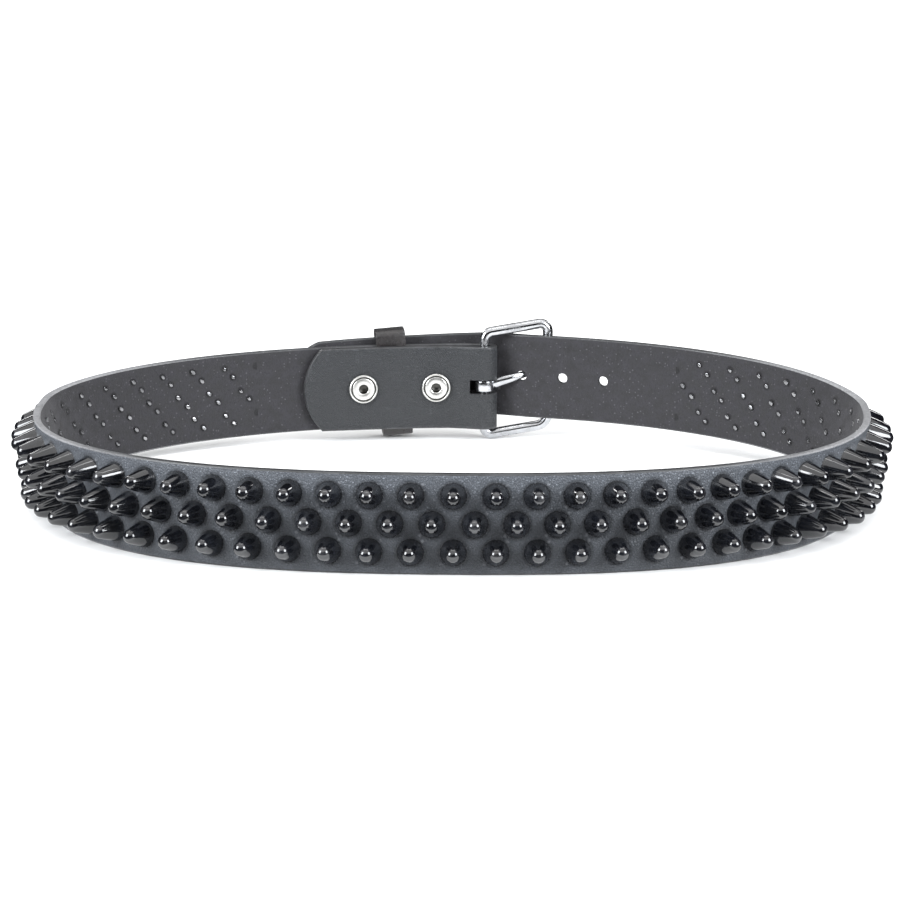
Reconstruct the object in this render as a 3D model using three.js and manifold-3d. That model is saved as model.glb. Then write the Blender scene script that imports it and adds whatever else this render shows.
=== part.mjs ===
// A black leather belt with three rows of round-tipped cone studs, buckled into an oval
// and standing on its edge. Millimetres, +Z up, the front of the oval faces -Y, floor at z = 0.

import * as THREE from "three";
import { mergeVertices } from "three/addons/utils/BufferGeometryUtils.js";
import Module from "manifold-3d";

const wasm = await Module();
wasm.setup();

// The oval that the middle of the leather follows, seen from above. The front is full and
// flat, the rear rounder. centreY puts the middle of the whole belt on the origin.
const OVAL = {
  halfWidth: 169.7, frontDepth: 138.7, rearDepth: 100.2,
  frontPower: 2.51, rearPower: 1.85, centreY: 22.4, steps: 1440,
};

// The leather. Leans are sideways per unit of height: the front wall leans in at the top,
// the two ends flare out. The rear is lifted off the floor by the buckle.
const STRAP = {
  width: 38, thickness: 3, frontLean: 0.145, endLean: -0.168, leftLift: 5.4,
  foldGap: 0.5, endSteps: 6, endStep: 7, fineTurn: 6,
};

// Cone studs with a round tip, in three rows. The middle row is half a pitch out of step.
const STUD = {
  pitch: 15.1, frontNumber: 6.7, firstNumber: -17, lastNumber: 30,
  baseRadius: 5.2, tipRadius: 2.6, height: 10.8,
  sunk: 0.8, sides: 6,
};
// How far the hand-set studs stray from even steps; reach is the number of the stud.
const STUD_SHIFTS = [
  { reach: -6, shift: 0 },
  { reach: -3, shift: -1.4 },
  { reach: 2, shift: -1.5 },
  { reach: 4.5, shift: -0.8 },
  { reach: 6, shift: 0.1 },
  { reach: 8, shift: 2.1 },
  { reach: 10, shift: 2.6 },
  { reach: 12, shift: 2.2 },
  { reach: 14, shift: 0.1 },
  { reach: 16, shift: -2.9 },
  { reach: 18.5, shift: -5 },
  { reach: 20, shift: -4.2 },
  { reach: 21.5, shift: -1.2 },
  { reach: 23, shift: 0 },
];
const STUD_ROWS = [
  { height: 8.4, outOfStep: 0 },
  { height: 19.0, outOfStep: 0.5 },
  { height: 29.6, outOfStep: 0 },
];

// Buckle of round wire: a heel bar in the fold and an outer bar over the tail
const FRAME = {
  wireRadius: 2.3, heelReach: 10.9, outerReach: 38.8, clearance: 0.6,
  top: 51.7, bottom: 0, rise: 4.3, riseBend: 1.4, heelCorner: 3.5, outerCorner: 4.5, cornerSteps: 3, sides: 8,
};

// Radius of the middle of the leather in the fold round the heel bar
const FOLD_RADIUS = FRAME.wireRadius + STRAP.foldGap + STRAP.thickness / 2;

// Places near the buckle are given by reach: the distance along the oval from the middle
// of the rear, positive towards +X. Offset is how far outside the oval the leather runs.
const OUTER_LAYER = [
  { reach: -95, offset: 0 },
  { reach: -60, offset: 0 },
  { reach: -30, offset: 0 },
  { reach: -11.5, offset: 0.45 },
  { reach: 0, offset: 1.0 },
  { reach: FRAME.heelReach, offset: 1.2 },
];
const HEEL_OFFSET = OUTER_LAYER.at(-1).offset - FOLD_RADIUS;
const FLAP = [
  { reach: -72.7, offset: -3.6 },
  { reach: -62, offset: -4.2 },
  { reach: -52, offset: -5.1 },
  { reach: -45.6, offset: -5.25 },
  { reach: -30, offset: -5.5 },
  { reach: -18, offset: -5.2 },
  { reach: -11.5, offset: -5.1 },
  { reach: -5, offset: -5.0 },
  { reach: 2, offset: -6.2 },
  { reach: FRAME.heelReach, offset: HEEL_OFFSET - FOLD_RADIUS },
];
const TAIL = [
  { reach: -78, offset: 4.6, lift: 6.8 },
  { reach: -46, offset: 5.0, lift: 7.8 },
  { reach: -30, offset: 5.0, lift: 8.3 },
  { reach: -11.5, offset: 5.45, lift: 8.9 },
  { reach: 2, offset: 5.7, lift: 9.4 },
  { reach: 11, offset: 5.5, lift: 9.8 },
  { reach: 17, offset: 4.5, lift: 10.0 },
  { reach: 24, offset: 2.3, lift: 10.2 },
  { reach: 30, offset: 0.9, lift: 10.25 },
  { reach: 38, offset: 0.2, lift: 10.3 },
  { reach: 50, offset: 0, lift: 10.3 },
  { reach: 110, offset: 0, lift: 10.3 },
];
const FLAP_BULGE = 8.2;
const TAIL_BULGE = 14;

// Five holes in the tail, with the tongue through the third
const HOLES = { count: 5, pitch: 19, tongueHoleReach: 27.7, radius: 2.3, cutDepth: 2.2, sides: 14 };

// Tongue: an eye round the heel bar and a shaft that goes out through the tail's hole
const TONGUE = {
  eyeClearance: 0.35, eyeThickness: 1.7, eyeWidth: 4.6, eyeHeight: 24.9, eyeSides: 14,
  sides: 8, slotClearance: 0.9, slotStart: 2.3, holeClearance: 0.4,
};
const TONGUE_SHAFT = [
  { reach: 13.9, offset: -2.9, height: 25.6, halfWide: 2.1, halfThick: 1.1 },
  { reach: 19, offset: -2.4, height: 27.0, halfWide: 2.1, halfThick: 1.3 },
  { reach: 23.5, offset: -1.1, height: 28.2, halfWide: 1.9, halfThick: 1.3 },
  { reach: 27.7, offset: 1.4, height: 29.3, halfWide: 1.6, halfThick: 1.2 },
  { reach: 31.5, offset: 4.6, height: 30.2, halfWide: 1.5, halfThick: 1.2 },
  { reach: 36, offset: 8.3, height: 31.1, halfWide: 1.5, halfThick: 1.2 },
  { reach: 41, offset: 8.7, height: 32.0, halfWide: 1.5, halfThick: 1.2 },
  { reach: 45.5, offset: 8.3, height: 32.8, halfWide: 1.2, halfThick: 0.9 },
];

// Keeper: a narrow leather ring round the outer layer and the tail, a little askew
const KEEPER = {
  reach: -30.8, width: 13.5, thickness: 1.6, clearance: 0.65, bottom: 1.4, top: 50.2,
  skew: -0.075, corner: 1.6, cornerSteps: 3,
};

// Snap fasteners that hold the flap to the outer layer
const SNAP = {
  leftReach: -45.6, rightReach: -11.5, height: 24.4, gap: 0.3, holeRadius: 3.5,
  ringRadius: 6.55, ringThickness: 1.3, grooveInner: 5.0, grooveOuter: 5.7, grooveDepth: 0.4,
  recessRadius: 2.1, recessDepth: 2.8, postRadius: 3.2, capRadius: 6.0, capThickness: 1.2,
  sides: 14,
};

const UP = new THREE.Vector3(0, 0, 1);

// Oval

/** A point of the oval, for an angle that runs anticlockwise from +X. */
function ovalPoint(angle) {
  const c = Math.cos(angle);
  const s = Math.sin(angle);
  const power = s < 0 ? OVAL.frontPower : OVAL.rearPower;
  const depth = s < 0 ? OVAL.frontDepth : OVAL.rearDepth;
  const size = (Math.abs(c) ** power + Math.abs(s) ** power) ** (-1 / power);
  return new THREE.Vector2(OVAL.halfWidth * c * size, depth * s * size + OVAL.centreY);
}

// The oval measured along its length, starting at the middle of the front
const ovalTable = [];
for (let i = 0, length = 0; i <= OVAL.steps; i += 1) {
  const point = ovalPoint(-Math.PI / 2 + (2 * Math.PI * i) / OVAL.steps);
  if (i > 0) length += point.distanceTo(ovalTable[i - 1].point);
  ovalTable.push({ point, length });
}
const OVAL_LENGTH = ovalTable[OVAL.steps].length;

/** The point at a length along the oval, between two entries of the table. */
function ovalAt(length) {
  const wrapped = THREE.MathUtils.euclideanModulo(length, OVAL_LENGTH);
  let low = 0;
  let high = OVAL.steps;
  while (high - low > 1) {
    const middle = Math.floor((low + high) / 2);
    if (ovalTable[middle].length > wrapped) high = middle;
    else low = middle;
  }
  const from = ovalTable[low];
  const to = ovalTable[high];
  const share = (wrapped - from.length) / (to.length - from.length);
  return from.point.clone().lerp(to.point, share);
}

/** Outward direction of the oval at a length along it. */
function outwardAt(length) {
  const step = 2;
  const along = ovalAt(length + step).sub(ovalAt(length - step)).normalize();
  return new THREE.Vector2(along.y, -along.x);
}

/** The point at a length along the oval, moved outwards by an offset. */
function offsetPoint(length, offset) {
  return ovalAt(length).addScaledVector(outwardAt(length), offset);
}

/** Length along the oval of a reach from the middle of the rear. */
function lengthOfReach(reach) {
  return OVAL_LENGTH / 2 - reach;
}

/** How far a place faces the rear, from 0 to 1. */
function rearShare(length) {
  return Math.max(0, outwardAt(length).y) ** 2;
}

/** Sideways lean of the leather per unit of height, positive when the top leans in. */
function leanAt(length) {
  const front = Math.max(0, -outwardAt(length).y) ** 2;
  const ends = 1 - front - rearShare(length);
  return STRAP.frontLean * front + STRAP.endLean * ends;
}

/** A column of a table at a reach, on a smooth curve through its rows. */
function tableValue(table, column, reach) {
  const last = table.length - 1;
  const slopeAt = (i) => {
    if (i === 0 || i === last) return 0;
    return (table[i + 1][column] - table[i - 1][column]) / (table[i + 1].reach - table[i - 1].reach);
  };
  let i = 0;
  while (i < last - 1 && table[i + 1].reach < reach) i += 1;
  const span = table[i + 1].reach - table[i].reach;
  const t = THREE.MathUtils.clamp((reach - table[i].reach) / span, 0, 1);
  const ease = t * t * (3 - 2 * t);
  const bend = slopeAt(i) * t * (1 - t) ** 2 - slopeAt(i + 1) * t * t * (1 - t);
  return THREE.MathUtils.lerp(table[i][column], table[i + 1][column], ease) + span * bend;
}

// Solids

/** Volume inside the faces, negative when they point inwards. */
function signedVolume(vertices, faces) {
  let volume = 0;
  for (let i = 0; i < faces.length; i += 3) {
    const [a, b, c] = faces.slice(i, i + 3).map((f) => vertices[f]);
    volume += a.dot(b.clone().cross(c)) / 6;
  }
  return volume;
}

/** Closed geometry from rings of points, capped at both ends, with an apex, or joined up. */
function loft(rings, { closed = false, apex = null } = {}) {
  const sides = rings[0].length;
  const vertices = rings.flat();
  const faces = [];
  const index = (ring, side) => (ring % rings.length) * sides + (side % sides);
  const bands = closed ? rings.length : rings.length - 1;
  for (let ring = 0; ring < bands; ring += 1) {
    for (let side = 0; side < sides; side += 1) {
      const a = index(ring, side);
      const b = index(ring, side + 1);
      const c = index(ring + 1, side + 1);
      const d = index(ring + 1, side);
      faces.push(a, b, c, a, c, d);
    }
  }
  const end = rings.length - 1;
  if (!closed) {
    for (let side = 1; side < sides - 1; side += 1) {
      faces.push(index(0, 0), index(0, side + 1), index(0, side));
      if (!apex) faces.push(index(end, 0), index(end, side), index(end, side + 1));
    }
  }
  if (apex) {
    vertices.push(apex);
    for (let side = 0; side < sides; side += 1) {
      faces.push(index(end, side), index(end, side + 1), vertices.length - 1);
    }
  }
  if (signedVolume(vertices, faces) < 0) faces.reverse();
  const geometry = new THREE.BufferGeometry();
  geometry.setAttribute("position", new THREE.Float32BufferAttribute(vertices.flatMap((v) => v.toArray()), 3));
  geometry.setIndex(faces);
  return geometry;
}

/** A ring of points round a centre, in the plane of two directions. */
function ringPoints(centre, across, up, acrossRadius, upRadius, sides) {
  const points = [];
  for (let side = 0; side < sides; side += 1) {
    const angle = (2 * Math.PI * side) / sides;
    points.push(centre.clone()
      .addScaledVector(across, acrossRadius * Math.cos(angle))
      .addScaledVector(up, upRadius * Math.sin(angle)));
  }
  return points;
}

/** A solid for joining and cutting, from one or more closed geometries that lie apart. */
function toSolid(...geometries) {
  const vertProperties = [];
  const triVerts = [];
  for (const geometry of geometries) {
    const bare = geometry.clone();
    bare.deleteAttribute("normal");
    bare.deleteAttribute("uv");
    const merged = mergeVertices(bare, 1e-4);
    const first = vertProperties.length / 3;
    vertProperties.push(...merged.attributes.position.array);
    triVerts.push(...Array.from(merged.index.array, (i) => i + first));
  }
  return new wasm.Manifold(new wasm.Mesh({
    numProp: 3,
    vertProperties: Float32Array.from(vertProperties),
    triVerts: Uint32Array.from(triVerts),
  }));
}

/** Geometry of a joined or cut solid. */
function toGeometry(solid) {
  const mesh = solid.getMesh();
  const geometry = new THREE.BufferGeometry();
  geometry.setAttribute("position", new THREE.BufferAttribute(mesh.vertProperties, 3));
  geometry.setIndex(new THREE.BufferAttribute(mesh.triVerts, 1));
  return geometry;
}

/** A named mesh with its own material. */
function part(name, geometry, color, roughness, metalness) {
  geometry.computeVertexNormals();
  const mesh = new THREE.Mesh(geometry, new THREE.MeshStandardMaterial({ color, roughness, metalness }));
  mesh.name = name;
  return mesh;
}

/** Directions at a reach on the rear: along towards +X, outwards, and the point on the oval. */
function rearFrame(reach, offset) {
  const length = lengthOfReach(reach);
  const outward = outwardAt(length);
  const point = offsetPoint(length, offset);
  return {
    point: new THREE.Vector3(point.x, point.y, 0),
    outward: new THREE.Vector3(outward.x, outward.y, 0),
    along: new THREE.Vector3(outward.y, -outward.x, 0),
  };
}

// Strap

/** Stations of a rounded strap end: distance from the tip and half height of the leather. */
function endStations(bulge) {
  const half = STRAP.width / 2;
  const radius = (half * half + bulge * bulge) / (2 * bulge);
  const sweep = Math.acos((radius - bulge) / radius);
  const stations = [];
  for (let i = 0.5; i < STRAP.endSteps; i += 1) {
    const angle = (sweep * i) / (STRAP.endSteps - 0.5);
    stations.push({ back: radius * (1 - Math.cos(angle)), half: Math.min(half, radius * Math.sin(angle)) });
  }
  return stations;
}

/** Reaches from one to another in steps of about the given size, both ends included. */
function reachSteps(from, to, step) {
  const count = Math.max(1, Math.round(Math.abs(to - from) / step));
  return Array.from({ length: count + 1 }, (_, i) => THREE.MathUtils.lerp(from, to, i / count));
}

/** The strap's stations, from the flap's end round the fold and the oval to the tail's tip. */
function strapStations() {
  const half = STRAP.width / 2;
  const stations = [];
  const add = (length, offset, lift, halfHeight = half) => {
    stations.push({ length, point: offsetPoint(length, offset), lift, half: halfHeight });
  };
  const leftLift = (length) => STRAP.leftLift * rearShare(length);
  const addFlap = (reach, halfHeight) => {
    const length = lengthOfReach(reach);
    add(length, tableValue(FLAP, "offset", reach), leftLift(length), halfHeight);
  };

  const flapEnd = FLAP[0].reach;
  for (const { back, half: h } of endStations(FLAP_BULGE)) addFlap(flapEnd + back, h);
  for (const reach of reachSteps(flapEnd + FLAP_BULGE, FRAME.heelReach, STRAP.endStep).slice(1)) addFlap(reach);

  for (let i = 1, steps = 8; i < steps; i += 1) {
    const angle = (Math.PI * i) / steps;
    const length = lengthOfReach(FRAME.heelReach + FOLD_RADIUS * Math.sin(angle));
    add(length, HEEL_OFFSET - FOLD_RADIUS * Math.cos(angle), leftLift(length));
  }

  for (const reach of reachSteps(FRAME.heelReach, OUTER_LAYER[0].reach, STRAP.endStep)) {
    const length = lengthOfReach(reach);
    add(length, tableValue(OUTER_LAYER, "offset", reach), leftLift(length));
  }

  const halfPitch = STUD.pitch / 2;
  const firstLength = (STUD.firstNumber - 0.5 - STUD.frontNumber) * STUD.pitch;
  const lastLength = (STUD.lastNumber + 0.5 - STUD.frontNumber) * STUD.pitch;
  const halfPitches = Math.round((lastLength - firstLength) / halfPitch);
  for (let i = 0; i <= halfPitches; i += 1) {
    const length = firstLength + i * halfPitch;
    const turn = THREE.MathUtils.radToDeg(turnAt(length, halfPitch));
    if (i % 2 === 0 || turn > STRAP.fineTurn) add(length, 0, loopLift(length));
  }

  const addTail = (reach, halfHeight) => {
    const length = lengthOfReach(reach);
    add(length, tableValue(TAIL, "offset", reach), tableValue(TAIL, "lift", reach) * rearShare(length), halfHeight);
  };
  const tailTip = TAIL[0].reach;
  const tailStart = OVAL_LENGTH / 2 - lastLength - halfPitch;
  for (const reach of reachSteps(tailStart, tailTip + TAIL_BULGE, STRAP.endStep)) addTail(reach);
  for (const { back, half: h } of endStations(TAIL_BULGE).reverse().slice(1)) addTail(tailTip + back, h);
  return stations;
}

/** How far the oval turns over a step either side of a place, in radians. */
function turnAt(length, step) {
  return Math.acos(THREE.MathUtils.clamp(outwardAt(length - step).dot(outwardAt(length + step)), -1, 1));
}

/** How high the buckle holds the bottom of the studded leather off the floor. */
function loopLift(length) {
  const lift = length < 0 ? STRAP.leftLift : tableValue(TAIL, "lift", TAIL.at(-1).reach);
  return lift * rearShare(length);
}

/** The four corners of the leather at each station. The grain side is on the right. */
function strapRings(stations) {
  const halfThick = STRAP.thickness / 2;
  return stations.map(({ length, point, lift, half }, i) => {
    const before = stations[Math.max(0, i - 1)].point;
    const after = stations[Math.min(stations.length - 1, i + 1)].point;
    const along = after.clone().sub(before).normalize();
    const grain = new THREE.Vector2(along.y, -along.x);
    const lean = leanAt(length);
    const corner = (side, height) => {
      const moved = point.clone().addScaledVector(grain, side * halfThick - lean * height);
      return new THREE.Vector3(moved.x, moved.y, lift + STRAP.width / 2 + height);
    };
    return [corner(1, -half), corner(1, half), corner(-1, half), corner(-1, -half)];
  });
}

/** One stud on the grain face at a length along the oval and a height up the leather. */
function studGeometry(length, height) {
  const outward = outwardAt(length);
  const lean = leanAt(length);
  const lift = loopLift(length);
  const halfThick = STRAP.thickness / 2;
  const axis = new THREE.Vector3(outward.x, outward.y, lean).normalize();
  const across = new THREE.Vector3(-outward.y, outward.x, 0);
  const up = axis.clone().cross(across);
  const flat = ovalAt(length).addScaledVector(outward, halfThick - lean * (height - STRAP.width / 2));
  const base = new THREE.Vector3(flat.x, flat.y, lift + height);
  const ring = (radius, out) => ringPoints(
    base.clone().addScaledVector(axis, out), across, up, radius, radius, STUD.sides,
  );
  const tipMiddle = STUD.height - STUD.tipRadius;
  return loft([
    ring(STUD.baseRadius, -STUD.sunk),
    ring(STUD.tipRadius, tipMiddle),
    ring(STUD.tipRadius * Math.SQRT1_2, tipMiddle + STUD.tipRadius * Math.SQRT1_2),
  ], { apex: base.clone().addScaledVector(axis, STUD.height) });
}

/** Every stud of the three rows. */
function studGeometries() {
  const studs = [];
  for (const { height, outOfStep } of STUD_ROWS) {
    for (let n = STUD.firstNumber - outOfStep; n <= STUD.lastNumber + outOfStep; n += 1) {
      const shift = tableValue(STUD_SHIFTS, "shift", n);
      studs.push(studGeometry((n - STUD.frontNumber) * STUD.pitch + shift, height));
    }
  }
  return studs;
}

/** A round cutter through one layer of leather on the rear. */
function roundCutter(reach, offset, height, radius, halfDepth) {
  const { point, outward, along } = rearFrame(reach, offset);
  const centre = point.setZ(height);
  const ring = (out) => ringPoints(
    centre.clone().addScaledVector(outward, out), along, UP, radius, radius, HOLES.sides,
  );
  return loft([ring(halfDepth), ring(-halfDepth)]);
}

/** Cutters for the row of holes in the tail. */
function holeCutters() {
  const middle = (HOLES.count - 1) / 2;
  return Array.from({ length: HOLES.count }, (_, i) => {
    const reach = HOLES.tongueHoleReach + (i - middle) * HOLES.pitch;
    const height = tableValue(TAIL, "lift", reach) * rearShare(lengthOfReach(reach)) + STRAP.width / 2;
    return roundCutter(reach, tableValue(TAIL, "offset", reach), height, HOLES.radius, HOLES.cutDepth);
  });
}

/** Cutters for the snap posts, through the flap and the outer layer. */
function snapCutters() {
  return [SNAP.leftReach, SNAP.rightReach].map((reach) => {
    const { inner, outer } = snapSpan(reach);
    const middle = (inner + outer) / 2;
    return roundCutter(reach, middle, SNAP.height, SNAP.holeRadius, (outer - inner) / 2 + SNAP.gap);
  });
}

/** Offsets of the flap's visible face and of the outer layer's hidden face at a snap. */
function snapSpan(reach) {
  const halfThick = STRAP.thickness / 2;
  return {
    inner: tableValue(FLAP, "offset", reach) - halfThick,
    outer: tableValue(OUTER_LAYER, "offset", reach) + halfThick,
  };
}

/** A block cutter for the tongue's slot in the fold. */
function slotCutter() {
  const halfThick = STRAP.thickness / 2;
  const inner = HEEL_OFFSET - FOLD_RADIUS - halfThick - 1;
  const outer = HEEL_OFFSET + FOLD_RADIUS + halfThick + 0.4;
  const halfWide = TONGUE.eyeWidth / 2 + TONGUE.slotClearance;
  const foldEnd = FRAME.heelReach + FOLD_RADIUS + halfThick + 1;
  const rings = [TONGUE.slotStart, foldEnd].map((reach) => {
    const corner = (offset, side) => rearFrame(reach, offset).point.setZ(TONGUE.eyeHeight + side * halfWide);
    return [corner(inner, -1), corner(outer, -1), corner(outer, 1), corner(inner, 1)];
  });
  return loft(rings);
}

/** The whole strap: leather, studs, holes, snap holes and slot. */
function studdedStrap() {
  const leather = toSolid(loft(strapRings(strapStations())));
  const studs = toSolid(...studGeometries());
  const cutters = [...holeCutters(), ...snapCutters(), slotCutter(), tongueShaft(TONGUE.holeClearance)];
  let solid = leather.add(studs);
  for (const cutter of cutters) solid = solid.subtract(toSolid(cutter));
  return toGeometry(solid);
}

// Buckle

/** Middle of the heel bar and of the outer bar, on the floor. */
function frameBars() {
  const outerOffset = tableValue(TAIL, "offset", FRAME.outerReach)
    + STRAP.thickness / 2 + FRAME.clearance + FRAME.wireRadius;
  return {
    heel: rearFrame(FRAME.heelReach, HEEL_OFFSET).point,
    outer: rearFrame(FRAME.outerReach, outerOffset).point,
  };
}

/** The middle line of the buckle's wire, as points and the directions away from its middle. */
function frameLine() {
  const { heel, outer } = frameBars();
  const along = outer.clone().sub(heel);
  const reach = along.length();
  along.normalize();
  const low = FRAME.bottom + FRAME.wireRadius;
  const high = FRAME.top - FRAME.wireRadius;
  const corners = [
    { x: 0, z: low, radius: FRAME.heelCorner, start: Math.PI },
    { x: reach, z: low, radius: FRAME.outerCorner, start: 1.5 * Math.PI },
    { x: reach, z: high, radius: FRAME.outerCorner, start: 0 },
    { x: 0, z: high, radius: FRAME.heelCorner, start: 0.5 * Math.PI },
  ];
  const line = [];
  for (const { x, z, radius, start } of corners) {
    const middleX = x === 0 ? radius : x - radius;
    const middleZ = z === low ? z + radius : z - radius;
    for (let i = 0; i <= FRAME.cornerSteps; i += 1) {
      const angle = start + (Math.PI / 2) * (i / FRAME.cornerSteps);
      const away = along.clone().multiplyScalar(Math.cos(angle)).addScaledVector(UP, Math.sin(angle));
      const share = Math.max(0, (middleX + radius * Math.cos(angle)) / reach);
      const point = heel.clone().addScaledVector(along, middleX).addScaledVector(UP, middleZ);
      point.addScaledVector(away, radius).addScaledVector(UP, FRAME.rise * share ** FRAME.riseBend);
      line.push({ point, away });
    }
  }
  return { line, side: along.clone().cross(UP) };
}

/** Buckle frame of one round wire. */
function buckleFrame() {
  const { line, side } = frameLine();
  const rings = line.map(({ point, away }) => ringPoints(
    point, away, side, FRAME.wireRadius, FRAME.wireRadius, FRAME.sides,
  ));
  return loft(rings, { closed: true });
}

/** The tongue's shaft, grown all round by a clearance when it cuts its way through the tail. */
function tongueShaft(grow = 0) {
  const line = new THREE.CatmullRomCurve3(TONGUE_SHAFT.map(({ reach, offset, height }) => (
    rearFrame(reach, offset).point.setZ(height)
  )));
  const steps = 2 * (TONGUE_SHAFT.length - 1);
  const rings = [];
  for (let i = 0; i <= steps; i += 1) {
    const at = i / steps;
    const row = Math.min(TONGUE_SHAFT.length - 2, Math.floor(i / 2));
    const share = i / 2 - row;
    const size = (column) => THREE.MathUtils.lerp(
      TONGUE_SHAFT[row][column], TONGUE_SHAFT[row + 1][column], share,
    ) + grow;
    const tangent = line.getTangent(at);
    const across = tangent.clone().cross(UP).normalize();
    const up = across.clone().cross(tangent);
    rings.push(ringPoints(line.getPoint(at), across, up, size("halfThick"), size("halfWide"), TONGUE.sides));
  }
  return loft(rings);
}

/** Tongue: the eye round the heel bar joined to the shaft. */
function buckleTongue() {
  const { heel } = frameBars();
  const { along, outward } = rearFrame(FRAME.heelReach, 0);
  const innerRadius = FRAME.wireRadius + TONGUE.eyeClearance;
  const outerRadius = innerRadius + TONGUE.eyeThickness;
  const halfWide = TONGUE.eyeWidth / 2;
  const rings = [];
  for (let i = 0; i < TONGUE.eyeSides; i += 1) {
    const angle = (2 * Math.PI * i) / TONGUE.eyeSides;
    const away = along.clone().multiplyScalar(Math.cos(angle)).addScaledVector(outward, Math.sin(angle));
    const corner = (radius, side) => heel.clone()
      .addScaledVector(away, radius)
      .addScaledVector(UP, TONGUE.eyeHeight + side * halfWide);
    rings.push([
      corner(innerRadius, -1), corner(innerRadius, 1), corner(outerRadius, 1), corner(outerRadius, -1),
    ]);
  }
  const eye = toSolid(loft(rings, { closed: true }));
  return toGeometry(eye.add(toSolid(tongueShaft())));
}

// Keeper and snaps

/** Keeper: a ring of thin leather whose inner run lies between the flap and the outer layer. */
function keeperLoop() {
  const { reach, thickness, clearance, corner, cornerSteps } = KEEPER;
  const halfThick = STRAP.thickness / 2;
  const inner = tableValue(OUTER_LAYER, "offset", reach) - halfThick - clearance - thickness;
  const outer = tableValue(TAIL, "offset", reach) + halfThick + clearance + thickness;
  const { point, outward, along } = rearFrame(reach, (inner + outer) / 2);
  const middle = point.setZ((KEEPER.bottom + KEEPER.top) / 2);
  const leaning = along.clone().applyAxisAngle(outward, KEEPER.skew);
  const up = UP.clone().applyAxisAngle(outward, KEEPER.skew);
  const halfDeep = (outer - inner) / 2;
  const halfTall = (KEEPER.top - KEEPER.bottom) / 2;
  const rings = [];
  for (let quarter = 0; quarter < 4; quarter += 1) {
    const deepSign = quarter === 0 || quarter === 3 ? 1 : -1;
    const tallSign = quarter < 2 ? 1 : -1;
    for (let i = 0; i <= cornerSteps; i += 1) {
      const angle = (Math.PI / 2) * (quarter + i / cornerSteps);
      const away = outward.clone().multiplyScalar(Math.cos(angle)).addScaledVector(up, Math.sin(angle));
      const centre = middle.clone()
        .addScaledVector(outward, deepSign * (halfDeep - thickness - corner))
        .addScaledVector(up, tallSign * (halfTall - thickness - corner));
      const edge = (radius, side) => centre.clone()
        .addScaledVector(away, radius)
        .addScaledVector(leaning, (side * KEEPER.width) / 2);
      rings.push([
        edge(corner, -1), edge(corner + thickness, -1), edge(corner + thickness, 1), edge(corner, 1),
      ]);
    }
  }
  return loft(rings, { closed: true });
}

/** Snap: a ring with a blind socket on the flap, a post and a plain cap behind. */
function snap(reach) {
  const { inner, outer } = snapSpan(reach);
  const { gap, ringRadius, ringThickness, recessRadius } = SNAP;
  const face = -gap - ringThickness;
  const back = outer - inner + gap;
  const profile = [
    [0, face + SNAP.recessDepth],
    [recessRadius, face + SNAP.recessDepth],
    [recessRadius, face],
    [SNAP.grooveInner, face],
    [SNAP.grooveInner, face + SNAP.grooveDepth],
    [SNAP.grooveOuter, face + SNAP.grooveDepth],
    [SNAP.grooveOuter, face],
    [ringRadius, face + SNAP.grooveDepth],
    [ringRadius, -gap],
    [SNAP.postRadius, -gap],
    [SNAP.postRadius, back],
    [SNAP.capRadius, back],
    [SNAP.capRadius, back + SNAP.capThickness / 2],
    [SNAP.capRadius - SNAP.capThickness, back + SNAP.capThickness],
    [0, back + SNAP.capThickness],
  ];
  const lathe = new THREE.LatheGeometry(profile.map(([x, y]) => new THREE.Vector2(x, y)), SNAP.sides);
  lathe.deleteAttribute("normal");
  lathe.deleteAttribute("uv");
  const { point, outward, along } = rearFrame(reach, inner);
  const turn = new THREE.Matrix4().makeBasis(along, outward, along.clone().cross(outward));
  turn.setPosition(point.setZ(SNAP.height));
  return mergeVertices(lathe, 1e-4).applyMatrix4(turn);
}

const belt = new THREE.Group();
belt.name = "studded_belt";
belt.add(
  part("studded_strap", studdedStrap(), 0x17181b, 0.5, 0),
  part("buckle_frame", buckleFrame(), 0xc9ccd0, 0.18, 1),
  part("buckle_tongue", buckleTongue(), 0xc9ccd0, 0.2, 1),
  part("keeper_loop", keeperLoop(), 0x1b1c20, 0.55, 0),
  part("snap_left", snap(SNAP.leftReach), 0xb9bcc0, 0.25, 1),
  part("snap_right", snap(SNAP.rightReach), 0xb9bcc0, 0.25, 1),
);

export default belt;
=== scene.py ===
"""Black leather belt with three rows of cone studs, fastened into an oval on its edge.

Sizes in the classes are millimetres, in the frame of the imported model. Every mesh is
written in metres.
"""
import logging
import math
from dataclasses import dataclass, field
from enum import Enum, IntEnum
from typing import Any, Callable, Optional, Sequence, Union

import bpy
import numpy as np
from mathutils import Matrix, Vector


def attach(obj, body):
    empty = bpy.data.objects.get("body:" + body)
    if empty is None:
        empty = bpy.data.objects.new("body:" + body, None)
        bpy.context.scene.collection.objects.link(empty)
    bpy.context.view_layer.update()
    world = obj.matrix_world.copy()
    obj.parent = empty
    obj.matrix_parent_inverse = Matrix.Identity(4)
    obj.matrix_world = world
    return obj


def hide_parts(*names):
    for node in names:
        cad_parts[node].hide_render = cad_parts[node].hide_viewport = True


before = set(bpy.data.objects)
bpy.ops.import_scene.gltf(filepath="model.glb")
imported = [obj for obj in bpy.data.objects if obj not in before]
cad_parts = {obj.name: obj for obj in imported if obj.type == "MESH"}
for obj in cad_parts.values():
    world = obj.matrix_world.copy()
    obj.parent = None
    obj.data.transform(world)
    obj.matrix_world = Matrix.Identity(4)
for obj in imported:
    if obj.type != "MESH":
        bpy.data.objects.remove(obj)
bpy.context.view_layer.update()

MM = 0.001
UP = Vector((0.0, 0.0, 1.0))
STRAP_MAP = "strap_map"
STUD_MAP = "stud_map"
RISE = "stud_rise"
LOG = logging.getLogger("studded_belt")

Colour = tuple[float, float, float, float]
Source = Union[bpy.types.NodeSocket, float, tuple]


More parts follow.
